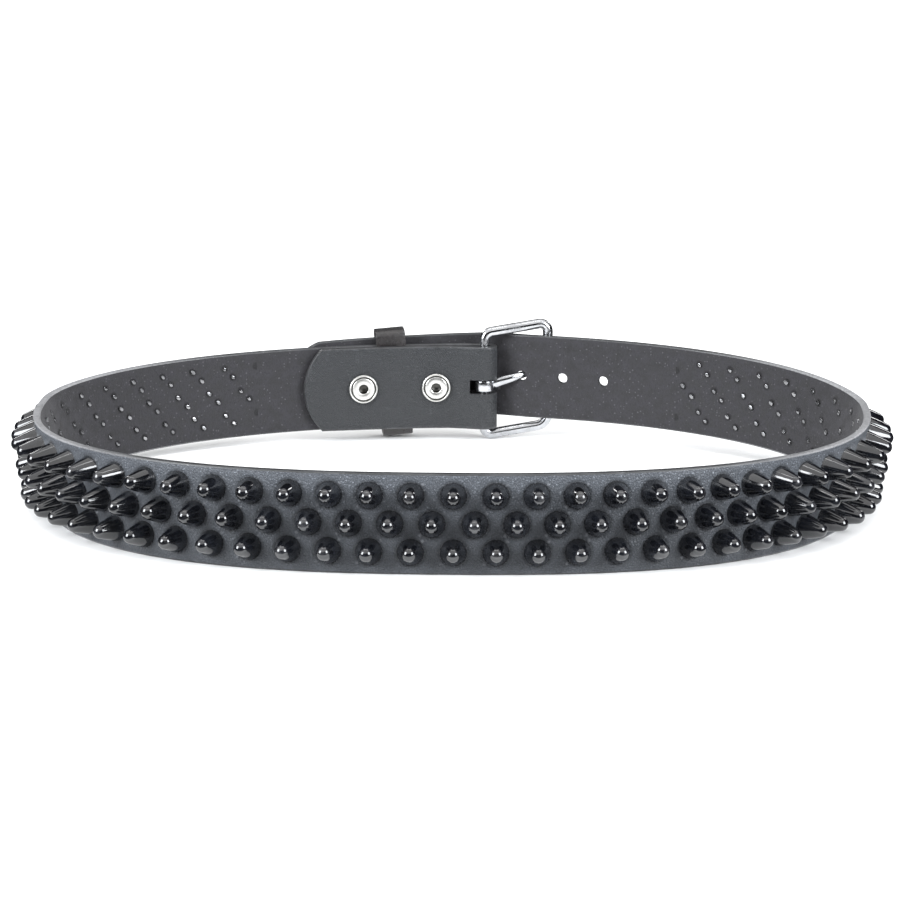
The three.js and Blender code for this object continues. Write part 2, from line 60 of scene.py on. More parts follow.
def grey(red: float, green: float, blue: float) -> Colour:
    """Return an opaque linear colour."""
    return (red, green, blue, 1.0)


class Side(IntEnum):
    """The faces of a strip of leather, in the order of its material slots."""

    GRAIN = 0
    FLESH = 1
    EDGE = 2


class Coordinates(Enum):
    """Where a finish reads its pattern from."""

    OBJECT = "object"
    STRAP = "strap"
    STUDS = "studs"


# The line of the belt


@dataclass
class Oval:
    """The level oval that the middle of the leather follows.

    Attributes:
        half_width: Half of the length from left to right.
        front_depth: Depth of the front half.
        rear_depth: Depth of the rear half.
        front_power: Superellipse power of the front half.
        rear_power: Superellipse power of the rear half.
        centre_y: Where the two halves meet.
        steps: Chords of the table of lengths.
    """

    half_width: float = 169.7
    front_depth: float = 138.7
    rear_depth: float = 100.2
    front_power: float = 2.51
    rear_power: float = 1.85
    centre_y: float = 22.4
    steps: int = 1440
    lengths: np.ndarray = field(init=False, repr=False)
    points: np.ndarray = field(init=False, repr=False)

    def __post_init__(self) -> None:
        """Fill the table of lengths, from the middle of the front towards the right."""
        angles = np.linspace(-math.pi / 2, 1.5 * math.pi, self.steps + 1)
        c, s = np.cos(angles), np.sin(angles)
        power = np.where(s < 0, self.front_power, self.rear_power)
        depth = np.where(s < 0, self.front_depth, self.rear_depth)
        size = (np.abs(c) ** power + np.abs(s) ** power) ** (-1 / power)
        across, deep = self.half_width * c * size, depth * s * size + self.centre_y
        self.points = np.stack((across, deep), axis=1)
        chords = np.hypot(*np.diff(self.points, axis=0).T)
        self.lengths = np.concatenate(([0.0], np.cumsum(chords)))

    @property
    def length(self) -> float:
        """Return the whole way round."""
        return float(self.lengths[-1])

    def at(self, length: float) -> Vector:
        """Return the point at a length from the middle of the front.

        Args:
            length: Way along the oval, positive to the right.

        Returns:
            The point, at height zero.
        """
        wrapped = length % self.length
        x = np.interp(wrapped, self.lengths, self.points[:, 0])
        y = np.interp(wrapped, self.lengths, self.points[:, 1])
        return Vector((float(x), float(y), 0.0))

    def outward(self, length: float) -> Vector:
        """Return the level direction out of the oval at a length.

        Args:
            length: Way along the oval.

        Returns:
            A unit direction.
        """
        step = 2.0
        along = (self.at(length + step) - self.at(length - step)).normalized()
        return Vector((along.y, -along.x, 0.0))


@dataclass(frozen=True)
class ReachTable:
    """Values against the reach from the middle of the rear, joined smoothly.

    Attributes:
        rows: Rows of a reach and its values, in rising order.
    """

    rows: tuple[tuple[float, ...], ...]

    def value(self, reach: float, column: int = 1) -> float:
        """Return one column's value at a reach.

        Args:
            reach: Where to read.
            column: Which value of the row.

        Returns:
            The value, with level ends and even slopes between the rows.
        """
        rows, last = self.rows, len(self.rows) - 1

        def slope(i: int) -> float:
            """Return the slope at a row."""
            if i in (0, last):
                return 0.0
            before, after = rows[i - 1], rows[i + 1]
            return (after[column] - before[column]) / (after[0] - before[0])

        i = 0
        while i < last - 1 and rows[i + 1][0] < reach:
            i += 1
        span = rows[i + 1][0] - rows[i][0]
        t = min(1.0, max(0.0, (reach - rows[i][0]) / span))
        ease = t * t * (3 - 2 * t)
        bend = slope(i) * t * (1 - t) ** 2 - slope(i + 1) * t * t * (1 - t)
        return rows[i][column] + (rows[i + 1][column] - rows[i][column]) * ease + span * bend


@dataclass(frozen=True)
class Station:
    """One cross section of the leather.

    Attributes:
        length: Way along the oval, for the lean of the section.
        point: Middle of the leather, seen from above.
        lift: Height of the lower edge over the floor.
        half: Half of the height of the section.
    """

    length: float
    point: Vector
    lift: float
    half: float


@dataclass
class BeltLine:
    """The way of the leather from the flap through the buckle and round to the tip."""

    oval: Oval = field(default_factory=Oval)
    width: float = 38.0
    thickness: float = 3.0
    front_lean: float = 0.145
    end_lean: float = -0.168
    left_lift: float = 5.4
    fold_radius: float = 4.3
    heel_reach: float = 10.9
    flap_bulge: float = 8.2
    tail_bulge: float = 14.0
    step: float = 2.4
    outer_layer: ReachTable = ReachTable((
        (-95, 0), (-60, 0), (-30, 0), (-11.5, 0.45), (0, 1.0), (10.9, 1.2),
    ))
    flap: ReachTable = ReachTable((
        (-72.7, -3.6), (-62, -4.2), (-52, -5.1), (-45.6, -5.25), (-30, -5.5), (-18, -5.2),
        (-11.5, -5.1), (-5, -5.0), (2, -6.2), (10.9, -7.4),
    ))
    tail: ReachTable = ReachTable((
        (-78, 4.6, 6.8), (-46, 5.0, 7.8), (-30, 5.0, 8.3), (-11.5, 5.45, 8.9), (2, 5.7, 9.4),
        (11, 5.5, 9.8), (17, 4.5, 10.0), (24, 2.3, 10.2), (30, 0.9, 10.25), (38, 0.2, 10.3),
        (50, 0, 10.3), (110, 0, 10.3),
    ))

    @property
    def heel_offset(self) -> float:
        """Return how far the bar of the buckle lies from the oval."""
        return self.outer_layer.rows[-1][1] - self.fold_radius

    def length_of(self, reach: float) -> float:
        """Return the way along the oval for a reach from the middle of the rear."""
        return self.oval.length / 2 - reach

    def offset_point(self, length: float, offset: float) -> Vector:
        """Return the point at a length, set off outwards."""
        return self.oval.at(length) + self.oval.outward(length) * offset

    def rear_share(self, length: float) -> float:
        """Return how much a place belongs to the rear, from 0 to 1."""
        return max(0.0, self.oval.outward(length).y) ** 2

    def lean(self, length: float) -> float:
        """Return how far the section leans out for each millimetre down.

        Args:
            length: Way along the oval.

        Returns:
            The lean, which is below zero where the section leans in.
        """
        front = max(0.0, -self.oval.outward(length).y) ** 2
        ends = 1 - front - self.rear_share(length)
        return self.front_lean * front + self.end_lean * ends

    def loop_lift(self, length: float) -> float:
        """Return the lift of the single layer at a length."""
        lift = self.left_lift if length < 0 else self.tail.rows[-1][2]
        return lift * self.rear_share(length)

    def rear_frame(self, reach: float, offset: float) -> tuple[Vector, Vector, Vector]:
        """Return the point, the outward and the reach direction at a place of the rear.

        Args:
            reach: Way from the middle of the rear.
            offset: Way out from the oval.

        Returns:
            The point at height zero and two unit directions.
        """
        length = self.length_of(reach)
        outward = self.oval.outward(length)
        return self.offset_point(length, offset), outward, Vector((outward.y, -outward.x, 0.0))

    def end_stations(self, bulge: float) -> list[tuple[float, float]]:
        """Return the rounded end of the leather.

        Args:
            bulge: How far the middle of the end stands before its corners.

        Returns:
            Pairs of the way back from the end and the half height there.
        """
        half, steps = self.width / 2, 12
        radius = (half * half + bulge * bulge) / (2 * bulge)
        sweep = math.acos((radius - bulge) / radius)
        angles = [sweep * (i + 0.5) / (steps - 0.5) for i in range(steps)]
        return [(radius * (1 - math.cos(a)), min(half, radius * math.sin(a))) for a in angles]

    def spread(self, start: float, end: float) -> list[float]:
        """Return even steps from one reach to another, both ends included."""
        count = max(1, round(abs(end - start) / self.step))
        return [start + (end - start) * i / count for i in range(count + 1)]

    def flap_station(self, reach: float, half: float) -> Station:
        """Return the section of the folded flap at a reach.

        Args:
            reach: Way from the middle of the rear.
            half: Half of its height.

        Returns:
            The section.
        """
        length = self.length_of(reach)
        lift = self.left_lift * self.rear_share(length)
        return Station(length, self.offset_point(length, self.flap.value(reach)), lift, half)

    def outer_station(self, reach: float) -> Station:
        """Return the section of the outer layer at a reach.

        Args:
            reach: Way from the middle of the rear.

        Returns:
            The section.
        """
        length = self.length_of(reach)
        lift = self.left_lift * self.rear_share(length)
        point = self.offset_point(length, self.outer_layer.value(reach))
        return Station(length, point, lift, self.width / 2)

    def tail_station(self, reach: float, half: float) -> Station:
        """Return the section of the tail at a reach.

        Args:
            reach: Way from the middle of the rear.
            half: Half of its height.

        Returns:
            The section.
        """
        length = self.length_of(reach)
        lift = self.tail.value(reach, 2) * self.rear_share(length)
        return Station(length, self.offset_point(length, self.tail.value(reach)), lift, half)

    def stations(self, first: float, last: float) -> tuple[list[Station], int]:
        """Return every section of the leather in order.

        Args:
            first: Length where the studded loop starts.
            last: Length where it ends.

        Returns:
            The sections, and the place in them of the first one of the loop.
        """
        half = self.width / 2
        flap_end, heel = self.flap.rows[0][0], self.heel_reach
        flap_tip = self.end_stations(self.flap_bulge)
        found = [self.flap_station(flap_end + back, high) for back, high in flap_tip]
        whole = self.spread(flap_end + self.flap_bulge, heel)[1:]
        found += [self.flap_station(reach, half) for reach in whole]
        turns = 16
        for i in range(1, turns):
            angle = math.pi * i / turns
            length = self.length_of(heel + self.fold_radius * math.sin(angle))
            offset = self.heel_offset - self.fold_radius * math.cos(angle)
            lift = self.left_lift * self.rear_share(length)
            found.append(Station(length, self.offset_point(length, offset), lift, half))
        outer = self.spread(heel, self.outer_layer.rows[0][0])
        found += [self.outer_station(reach) for reach in outer]
        start = len(found)
        for length in self.spread(first, last):
            found.append(Station(length, self.oval.at(length), self.loop_lift(length), half))
        tip = self.tail.rows[0][0]
        tail_start = self.oval.length / 2 - last - self.step
        tail = self.spread(tail_start, tip + self.tail_bulge)
        found += [self.tail_station(reach, half) for reach in tail]
        ends = self.end_stations(self.tail_bulge)
        found += [self.tail_station(tip + back, h) for back, h in reversed(ends[:-1])]
        return found, start


# Mesh helpers


@dataclass
class Skin:
    """Rings of points joined into one closed surface.

    Attributes:
        rings: Rings with the same number of points, in millimetres.
        closed: Whether the last ring joins the first.
        poles: Middle points that close the two ends, where they aren't flat.
        along: Map value of each ring, in metres.
        across: Map value of each point of each ring, in metres.
        numbers: Stud number of each ring.
        sides: Material slot of each strip between two points of a ring.
    """

    rings: list[list[Vector]]
    closed: bool = False
    poles: tuple[Optional[Vector], Optional[Vector]] = (None, None)
    along: Optional[list[float]] = None
    across: Optional[list[list[float]]] = None
    numbers: Optional[list[float]] = None
    sides: Optional[list[int]] = None

    def build(self, name: str, smooth_angle: float = 40.0) -> bpy.types.Mesh:
        """Return the surface as a mesh in metres with its faces pointing out.

        Args:
            name: Name of the mesh.
            smooth_angle: Edges that turn more than this many degrees stay sharp.

        Returns:
            The new mesh.
        """
        count, size = len(self.rings), len(self.rings[0])
        points = [p for ring in self.rings for p in ring]
        faces: list[tuple[int, ...]] = []
        slots: list[int] = []
        for i in range(count if self.closed else count - 1):
            k = (i + 1) % count
            for j in range(size):
                m = (j + 1) % size
                faces.append((i * size + j, i * size + m, k * size + m, k * size + j))
                slots.append(self.sides[j] if self.sides else 0)
        if not self.closed:
            first, last = self.poles
            rim = list(range(size))
            back = [(count - 1) * size + j for j in rim]
            self._close(points, faces, slots, rim[::-1], first)
            self._close(points, faces, slots, back, last)
        mesh = bpy.data.meshes.new(name)
        mesh.from_pydata([tuple(p * MM) for p in points], [], faces)
        for polygon, slot in zip(mesh.polygons, slots):
            polygon.material_index = slot
        if self._inside_out(points, faces):
            mesh.flip_normals()
        if self.along and self.across:
            self._map(mesh, size, count)
        mesh.shade_smooth()
        mesh.set_sharp_from_angle(angle=math.radians(smooth_angle))
        mesh.validate()
        mesh.update()
        return mesh

    def _close(
        self, points: list[Vector], faces: list[tuple[int, ...]], slots: list[int],
        rim: list[int], pole: Optional[Vector],
    ) -> None:
        """Close one end with a flat face or a fan to its pole.

        Args:
            points: Points so far.
            faces: Faces so far.
            slots: Slot of each face.
            rim: Points of the end in order.
            pole: Middle point, if the end isn't flat.
        """
        slot = self.sides[-1] if self.sides else 0
        if pole is None:
            faces.append(tuple(rim))
            slots.append(slot)
            return
        middle = len(points)
        points.append(pole)
        for j, corner in enumerate(rim):
            faces.append((corner, rim[(j + 1) % len(rim)], middle))
            slots.append(slot)

    def _inside_out(self, points: list[Vector], faces: list[tuple[int, ...]]) -> bool:
        """Return whether the faces enclose a negative volume.

        Args:
            points: Points of the surface.
            faces: Faces of the surface.

        Returns:
            Whether they point in.
        """
        volume = 0.0
        for face in faces:
            a = points[face[0]]
            for b, c in zip(face[1:-1], face[2:]):
                volume += a.dot(points[b].cross(points[c]))
        return volume < 0

    def _map(self, mesh: bpy.types.Mesh, size: int, count: int) -> None:
        """Write the map of a surface whose strips don't wrap on themselves.

        Args:
            mesh: The new mesh.
            size: Points of a ring.
            count: Number of rings.
        """
        for name, column in ((STRAP_MAP, self.along), (STUD_MAP, self.numbers)):
            layer = mesh.uv_layers.new(name=name)
            for loop in mesh.loops:
                i, j = divmod(loop.vertex_index, size)
                i = min(i, count - 1)
                layer.data[loop.index].uv = (column[i], self.across[i][j])


def ring_at(
    centre: Vector, across: Vector, up: Vector, across_radius: float, up_radius: float,
    sides: int,
) -> list[Vector]:
    """Return the points of an ellipse round a centre.

    Args:
        centre: Middle of the ellipse.
        across: Unit direction of the first radius.
        up: Unit direction of the second radius.
        across_radius: First radius.
        up_radius: Second radius.
        sides: Number of points.

    Returns:
        The points in order.
    """
    angles = [2 * math.pi * i / sides for i in range(sides)]
    return [
        centre + across * (across_radius * math.cos(a)) + up * (up_radius * math.sin(a))
        for a in angles
    ]


def rounded_section(
    half_deep: float, half_wide: float, radius: float, steps: int,
) -> list[tuple[float, float]]:
    """Return the outline of a rectangle with round corners.

    Args:
        half_deep: Half of the first side.
        half_wide: Half of the second side.
        radius: Radius of the corners.
        steps: Chords of each corner.

    Returns:
        Pairs of the place along the first and the second side.
    """
    outline = []
    for quarter in range(4):
        deep = (half_deep - radius) * (1 if quarter in (0, 3) else -1)
        wide = (half_wide - radius) * (1 if quarter < 2 else -1)
        for i in range(steps + 1):
            angle = math.pi / 2 * (quarter + i / steps)
            outline.append((deep + radius * math.cos(angle), wide + radius * math.sin(angle)))
    return outline


def lathe(
    profile: Sequence[tuple[float, float]], centre: Vector, axis: Vector, side: Vector, sides: int,
) -> Skin:
    """Return a turned shape.

    Args:
        profile: Pairs of a radius and a way along the axis; the first and last radius are zero.
        centre: Origin of the profile.
        axis: Axis of the shape.
        side: A direction square to the axis.
        sides: Facets round the axis.

    Returns:
        The skin of the turned shape.
    """
    up = axis.cross(side)
    rings = [ring_at(centre + axis * way, side, up, r, r, sides) for r, way in profile[1:-1]]
    ends = (centre + axis * profile[0][1], centre + axis * profile[-1][1])
    return Skin(rings, poles=ends)


def join_meshes(name: str, meshes: list[bpy.types.Mesh]) -> bpy.types.Mesh:
    """Return one mesh made of several that are then removed.

    Args:
        name: Name of the new mesh.
        meshes: Meshes without maps.

    Returns:
        The joined mesh, with the smoothing of its sources.
    """
    points: list[tuple[float, float, float]] = []
    faces: list[tuple[int, ...]] = []
    for mesh in meshes:
        start = len(points)
        points += [tuple(v.co) for v in mesh.vertices]
        faces += [tuple(start + i for i in p.vertices) for p in mesh.polygons]
        bpy.data.meshes.remove(mesh)
    joined = bpy.data.meshes.new(name)
    joined.from_pydata(points, [], faces)
    joined.shade_smooth()
    joined.set_sharp_from_angle(angle=math.radians(40))
    joined.update()
    return joined


def add_object(name: str, mesh: bpy.types.Mesh) -> bpy.types.Object:
    """Return a new object of the scene with a mesh."""
    made = bpy.data.objects.new(name, mesh)
    bpy.context.scene.collection.objects.link(made)
    return made


def evaluated_mesh(obj: bpy.types.Object, name: str) -> bpy.types.Mesh:
    """Return what the object's modifiers make, as a plain mesh.

    Args:
        obj: Object with live modifiers.
        name: Name of the mesh.

    Returns:
        The new mesh.
    """
    bpy.context.view_layer.update()
    depsgraph = bpy.context.evaluated_depsgraph_get()
    mesh = bpy.data.meshes.new_from_object(
        obj.evaluated_get(depsgraph), preserve_all_data_layers=True, depsgraph=depsgraph,
    )
    mesh.name = name
    return mesh


def seat_piece(piece: bpy.types.Object, node: Optional[str] = None) -> bpy.types.Object:
    """Tie a finished piece to the frame.

    Args:
        piece: The piece, with its place in its mesh.
        node: Solid that it stands for, if any.

    Returns:
        The same piece.
    """
    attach(piece, "root")
    if node:
        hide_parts(node)
    triangles = sum(len(p.vertices) - 2 for p in piece.data.polygons)
    LOG.info("%s: %d triangles, for %s", piece.name, triangles, node or "detail")
    return piece


# Node helpers


class Graph:
    """A node tree with short ways to add and join nodes."""

    def __init__(self, tree: bpy.types.NodeTree) -> None:
        """Keep the tree.

        Args:
            tree: The tree that nodes are added to.
        """
        self.tree = tree

    def feed(self, socket: bpy.types.NodeSocket, value: Source) -> None:
        """Join a socket to another one, or set its plain value."""
        if isinstance(value, bpy.types.NodeSocket):
            self.tree.links.new(value, socket)
        else:
            socket.default_value = value

    def add(
        self, kind: str, inputs: Optional[dict[Union[str, int], Source]] = None, **settings: Any,
    ) -> bpy.types.Node:
        """Add one node.

        Args:
            kind: Type of the node.
            inputs: Values or sockets for its inputs.
            **settings: Values of its own properties.

        Returns:
            The new node.
        """
        node = self.tree.nodes.new(kind)
        for name, value in settings.items():
            setattr(node, name, value)
        for key, value in (inputs or {}).items():
            self.feed(node.inputs[key], value)
        return node

    def math(self, operation: str, first: Source, second: Source = 0.0) -> Any:
        """Return the result of a Math node."""
        return self.add("ShaderNodeMath", {0: first, 1: second}, operation=operation).outputs[0]

    def plus(self, first: Source, second: Source) -> Any:
        """Return the sum of two values."""
        return self.math("ADD", first, second)

    def minus(self, first: Source, second: Source) -> Any:
        """Return the first value less the second."""
        return self.math("SUBTRACT", first, second)

    def times(self, first: Source, second: Source) -> Any:
        """Return the product of two values."""
        return self.math("MULTIPLY", first, second)

    def larger(self, first: Source, second: Source) -> Any:
        """Return the larger of two values."""
        return self.math("MAXIMUM", first, second)

    def smaller(self, first: Source, second: Source) -> Any:
        """Return the smaller of two values."""
        return self.math("MINIMUM", first, second)

    def rest(self, share: Source) -> Any:
        """Return what a share leaves of one."""
        return self.math("SUBTRACT", 1.0, share)

    def size(self, value: Source) -> Any:
        """Return a value without its sign."""
        return self.math("ABSOLUTE", value)

    def length(self, first: Source, second: Source) -> Any:
        """Return the length of a way given by two square parts."""
        return self.math("SQRT", self.plus(self.times(first, first), self.times(second, second)))

    def apart(self, vector: Source) -> Any:
        """Return the three numbers of a vector."""
        return self.add("ShaderNodeSeparateXYZ", {0: vector}).outputs

    def scaled(self, vector: Source, scale: Source) -> Any:
        """Return a vector times a number."""
        node = self.add("ShaderNodeVectorMath", {0: vector, "Scale": scale}, operation="SCALE")
        return node.outputs["Vector"]

    def moved(self, vector: Source, step: Source) -> Any:
        """Return the sum of two vectors."""
        return self.add("ShaderNodeVectorMath", {0: vector, 1: step}, operation="ADD").outputs[0]

    def stretched(self, vector: Source, factors: tuple[float, float, float]) -> Any:
        """Return a vector times a factor along each axis."""
        node = self.add("ShaderNodeVectorMath", {0: vector, 1: factors}, operation="MULTIPLY")
        return node.outputs[0]

    def blend(self, factor: Source, first: Source, second: Source) -> Any:
        """Return one colour mixed into another."""
        node = self.add("ShaderNodeMix", {0: factor, 6: first, 7: second}, data_type="RGBA")
        return node.outputs[2]

    def ramp(
        self, value: Source, low: float, high: float, start: float = 0.0, end: float = 1.0,
    ) -> Any:
        """Return a value taken smoothly from one range to another.

        Args:
            value: The value.
            low: Where the first range starts.
            high: Where the first range ends.
            start: What the result starts from.
            end: What the result ends at.

        Returns:
            The new value, which stays within its range.
        """
        node = self.add(
            "ShaderNodeMapRange",
            {"Value": value, "From Min": low, "From Max": high, "To Min": start, "To Max": end},
            interpolation_type="SMOOTHSTEP",
        )
        return node.outputs["Result"]

    def noise(
        self, vector: Source, scale: Source, detail: float = 3.0, roughness: float = 0.55,
    ) -> Any:
        """Return the value of a noise texture.

        Args:
            vector: Where it is read.
            scale: Its waves to the metre.
            detail: Number of its finer layers.
            roughness: Share of each finer layer.

        Returns:
            The value, about a half on average.
        """
        node = self.add(
            "ShaderNodeTexNoise",
            {"Vector": vector, "Scale": scale, "Detail": detail, "Roughness": roughness},
        )
        return node.outputs[0]

    def cells(self, vector: Source, scale: Source, feature: str = "F1") -> bpy.types.Node:
        """Return a cell texture node."""
        return self.add("ShaderNodeTexVoronoi", {"Vector": vector, "Scale": scale}, feature=feature)


@dataclass
class Effect:
    """A node group that several materials share.

    Attributes:
        name: Name of the group.
        inputs: Type and first value of each named input.
        outputs: Names of its values.
        fill: Draws the inside and returns the value of each output.
    """

    name: str
    inputs: dict[str, tuple[str, Any]]
    outputs: tuple[str, ...]
    fill: Callable[[Graph, Any], dict[str, Any]]
    tree: Optional[bpy.types.NodeTree] = None

    def build(self) -> bpy.types.NodeTree:
        """Return the group's tree, built the first time it is asked for."""
        if self.tree:
            return self.tree
        tree = bpy.data.node_groups.new(self.name, "ShaderNodeTree")
        for label, (kind, value) in self.inputs.items():
            socket = tree.interface.new_socket(name=label, in_out="INPUT", socket_type=kind)
            if kind == "NodeSocketFloat":
                socket.default_value = value
        for label in self.outputs:
            tree.interface.new_socket(name=label, in_out="OUTPUT", socket_type="NodeSocketFloat")
        graph = Graph(tree)
        start = graph.add("NodeGroupInput")
        end = graph.add("NodeGroupOutput")
        for label, value in self.fill(graph, start.outputs).items():
            graph.feed(end.inputs[label], value)
        self.tree = tree
        return tree

    def place(self, graph: Graph, **values: Source) -> bpy.types.Node:
        """Add the group to a material.

        Args:
            graph: Graph of the material.
            **values: Values of its inputs, with spaces in their names as underscores.

        Returns:
            The group node.
        """
        node = graph.add("ShaderNodeGroup")
        node.node_tree = self.build()
        for label, value in values.items():
            graph.feed(node.inputs[label.replace("_", " ")], value)
        return node


def fill_pebbles(graph: Graph, given: Any) -> dict[str, Any]:
    """Draw small pebbles with creases, pores and a few bright flecks.

    Args:
        graph: Graph of the group.
        given: Vector of the place, and Cell, the size of a pebble.

    Returns:
        The Height, and the masks Crease and Fleck.
    """
    place = graph.scaled(given["Vector"], graph.math("DIVIDE", 1.0, given["Cell"]))
    warp = graph.add("ShaderNodeTexNoise", {"Vector": place, "Scale": 0.6, "Detail": 2.0})
    place = graph.moved(place, graph.scaled(warp.outputs["Color"], 0.7))
    bumps = graph.cells(place, 1.0, "SMOOTH_F1").outputs["Distance"]
    border = graph.cells(place, 1.0, "DISTANCE_TO_EDGE").outputs["Distance"]
    crease = graph.rest(graph.ramp(border, 0.0, 0.16))
    pores = graph.noise(place, 4.5, 3.0, 0.6)
    height = graph.plus(graph.rest(graph.math("POWER", bumps, 2.0)), graph.times(pores, 0.35))
    height = graph.minus(height, graph.times(crease, 0.45))
    spots = graph.cells(place, 0.8).outputs
    chosen = graph.add("ShaderNodeSeparateColor", {0: spots["Color"]}).outputs[0]
    near = graph.rest(graph.ramp(spots["Distance"], 0.12, 0.34))
    fleck = graph.times(near, graph.math("GREATER_THAN", chosen, 0.72))
    return {"Height": height, "Crease": crease, "Fleck": fleck}


def fill_mottle(graph: Graph, given: Any) -> dict[str, Any]:
    """Draw soft blotches at two sizes.

    Args:
        graph: Graph of the group.
        given: Vector of the place, and Scale of the wide blotches.

    Returns:
        The mask Tone.
    """
    vector, scale = given["Vector"], given["Scale"]
    wide = graph.noise(vector, scale, 3.0, 0.5)
    close = graph.noise(vector, graph.times(scale, 6.3), 4.0, 0.65)
    both = graph.plus(graph.times(wide, 0.6), graph.times(close, 0.4))
    return {"Tone": graph.ramp(both, 0.36, 0.64)}


def fill_hairlines(graph: Graph, given: Any) -> dict[str, Any]:
    """Draw thin scratches in two directions, broken into short lengths.

    Args:
        graph: Graph of the group.
        given: Vector of the place, Scale of the lines and Amount of them.

    Returns:
        The mask Line.
    """
    vector, scale = given["Vector"], given["Scale"]
    masks = []
    for factors in ((1.0, 0.06, 1.0), (0.09, 1.0, 0.7)):
        line = graph.noise(graph.stretched(vector, factors), scale, 2.0, 0.5)
        thin = graph.size(graph.minus(line, 0.5))
        masks.append(graph.rest(graph.ramp(thin, 0.0, 0.012)))
    broken = graph.ramp(graph.noise(vector, graph.times(scale, 0.22)), 0.5, 0.66)
    lines = graph.times(graph.larger(masks[0], masks[1]), broken)
    return {"Line": graph.times(lines, given["Amount"])}


def fill_wear(graph: Graph, given: Any) -> dict[str, Any]:
    """Draw a worn strip that starts at a border and breaks up further in.

    Args:
        graph: Graph of the group.
        given: Vector of the place, Distance from the border and Reach of the wear.

    Returns:
        The Mask of the wear.
    """
    ragged = graph.minus(graph.noise(given["Vector"], 420.0, 4.0, 0.7), 0.5)
    far = graph.plus(given["Distance"], graph.times(ragged, graph.times(given["Reach"], 2.2)))
    part = graph.math("DIVIDE", far, given["Reach"])
    return {"Mask": graph.rest(graph.ramp(part, 0.15, 1.0))}


@dataclass
class StudPlan:
    """Where the studs sit on the leather.

    Attributes:
        pitch: Way from one stud to the next of a row.
        front_number: Number of the place at the middle of the front.
        first: Number of the first stud of the outer rows.
        last: Number of their last stud.
        rows: Height of each row over the lower edge, and how far it is out of step.
        prong_reach: Way of each folded prong from the middle of its stud.
        glint_reach: Way of the small bulges with painted glints from the middle of the stud.
        shifts: How far the hand-set studs stray from even steps, by their number.
    """

    pitch: float = 15.1
    front_number: float = 6.7
    first: int = -17
    last: int = 30
    rows: tuple[tuple[float, float], ...] = ((8.4, 0.0), (19.0, 0.5), (29.6, 0.0))
    prong_reach: float = 2.85
    glint_reach: float = 5.9
    shifts: ReachTable = ReachTable((
        (-6, 0), (-3, -1.4), (2, -1.5), (4.5, -0.8), (6, 0.1), (8, 2.1), (10, 2.6), (12, 2.2),
        (14, 0.1), (16, -2.9), (18.5, -5), (20, -4.2), (21.5, -1.2), (23, 0),
    ))

    def length_of(self, number: float) -> float:
        """Return the way along the oval of a stud's number."""
        return (number - self.front_number) * self.pitch + self.shifts.value(number)

    def number_at(self, length: float) -> float:
        """Return the stud's number at a way along the oval.

        Args:
            length: Way along the oval.

        Returns:
            The number, with a fraction between two studs.
        """
        number = length / self.pitch + self.front_number
        for _ in range(8):
            number += (length - self.length_of(number)) / self.pitch
        return number

    def places(self) -> list[tuple[float, float]]:
        """Return the length and the height of every stud.

        Returns:
            Pairs of the way along the oval and the height over the lower edge.
        """
        found = []
        for height, out_of_step in self.rows:
            number = self.first - out_of_step
            while number <= self.last + out_of_step:
                found.append((self.length_of(number), height))
                number += 1
        return found

    def fill_seats(self, graph: Graph, given: Any) -> dict[str, Any]:
        """Draw how far a place of the strap is from the studs and their prongs.

        Args:
            graph: Graph of the group.
            given: Vector of the stud's number and the height, and the Pitch in metres.

        Returns:
            The distances Seat and Prong in metres, and the mask Glint Bulge of the small bulges
            that carry painted glints.
        """
        number, up, _ = graph.apart(given["Vector"])
        inside = graph.times(
            graph.math("GREATER_THAN", number, self.first - 0.9),
            graph.math("LESS_THAN", number, self.last + 0.9),
        )
        patchy = graph.ramp(graph.noise(given["Vector"], 0.9, 1.0), 0.4, 0.62)
        seat: Any = 1.0
        prong: Any = 1.0
        glint_bulge: Any = 0.0
        for height, out_of_step in self.rows:
            place = graph.plus(number, out_of_step)
            du = graph.times(graph.minus(place, graph.math("ROUND", place)), given["Pitch"])
            dv = graph.minus(up, height * MM)
            rising = graph.size(graph.times(graph.plus(du, dv), math.sqrt(0.5)))
            aside = graph.times(graph.minus(du, dv), math.sqrt(0.5))
            out = graph.minus(rising, self.prong_reach * MM)
            band = graph.size(graph.minus(rising, self.glint_reach * MM))
            mark = graph.times(
                graph.rest(graph.ramp(band, 0.0002, 0.0009)),
                graph.rest(graph.ramp(graph.size(aside), 0.0002, 0.0008)),
            )
            seat = graph.smaller(seat, graph.length(du, dv))
            prong = graph.smaller(prong, graph.length(out, aside))
            glint_bulge = graph.larger(glint_bulge, mark)
        outside = graph.rest(inside)
        return {
            "Seat": graph.plus(seat, outside),
            "Prong": graph.plus(prong, outside),
            "Glint Bulge": graph.times(glint_bulge, graph.times(inside, patchy)),
        }


STUDS = StudPlan()
VECTOR = ("NodeSocketVector", None)
PEBBLES = Effect(
    "leather_pebbles", {"Vector": VECTOR, "Cell": ("NodeSocketFloat", 0.001)},
    ("Height", "Crease", "Fleck"), fill_pebbles,
)
MOTTLE = Effect(
    "soft_mottle", {"Vector": VECTOR, "Scale": ("NodeSocketFloat", 30.0)},
    ("Tone",), fill_mottle,
)
HAIRLINES = Effect(
    "hairlines",
    {"Vector": VECTOR, "Scale": ("NodeSocketFloat", 300.0), "Amount": ("NodeSocketFloat", 1.0)},
    ("Line",), fill_hairlines,
)
WEAR = Effect(
    "edge_wear",
    {"Vector": VECTOR, "Distance": ("NodeSocketFloat", 1.0), "Reach": ("NodeSocketFloat", 0.001)},
    ("Mask",), fill_wear,
)
SEATS = Effect(
    "stud_seats", {"Vector": VECTOR, "Pitch": ("NodeSocketFloat", STUDS.pitch * MM)},
    ("Seat", "Prong", "Glint Bulge"), STUDS.fill_seats,
)


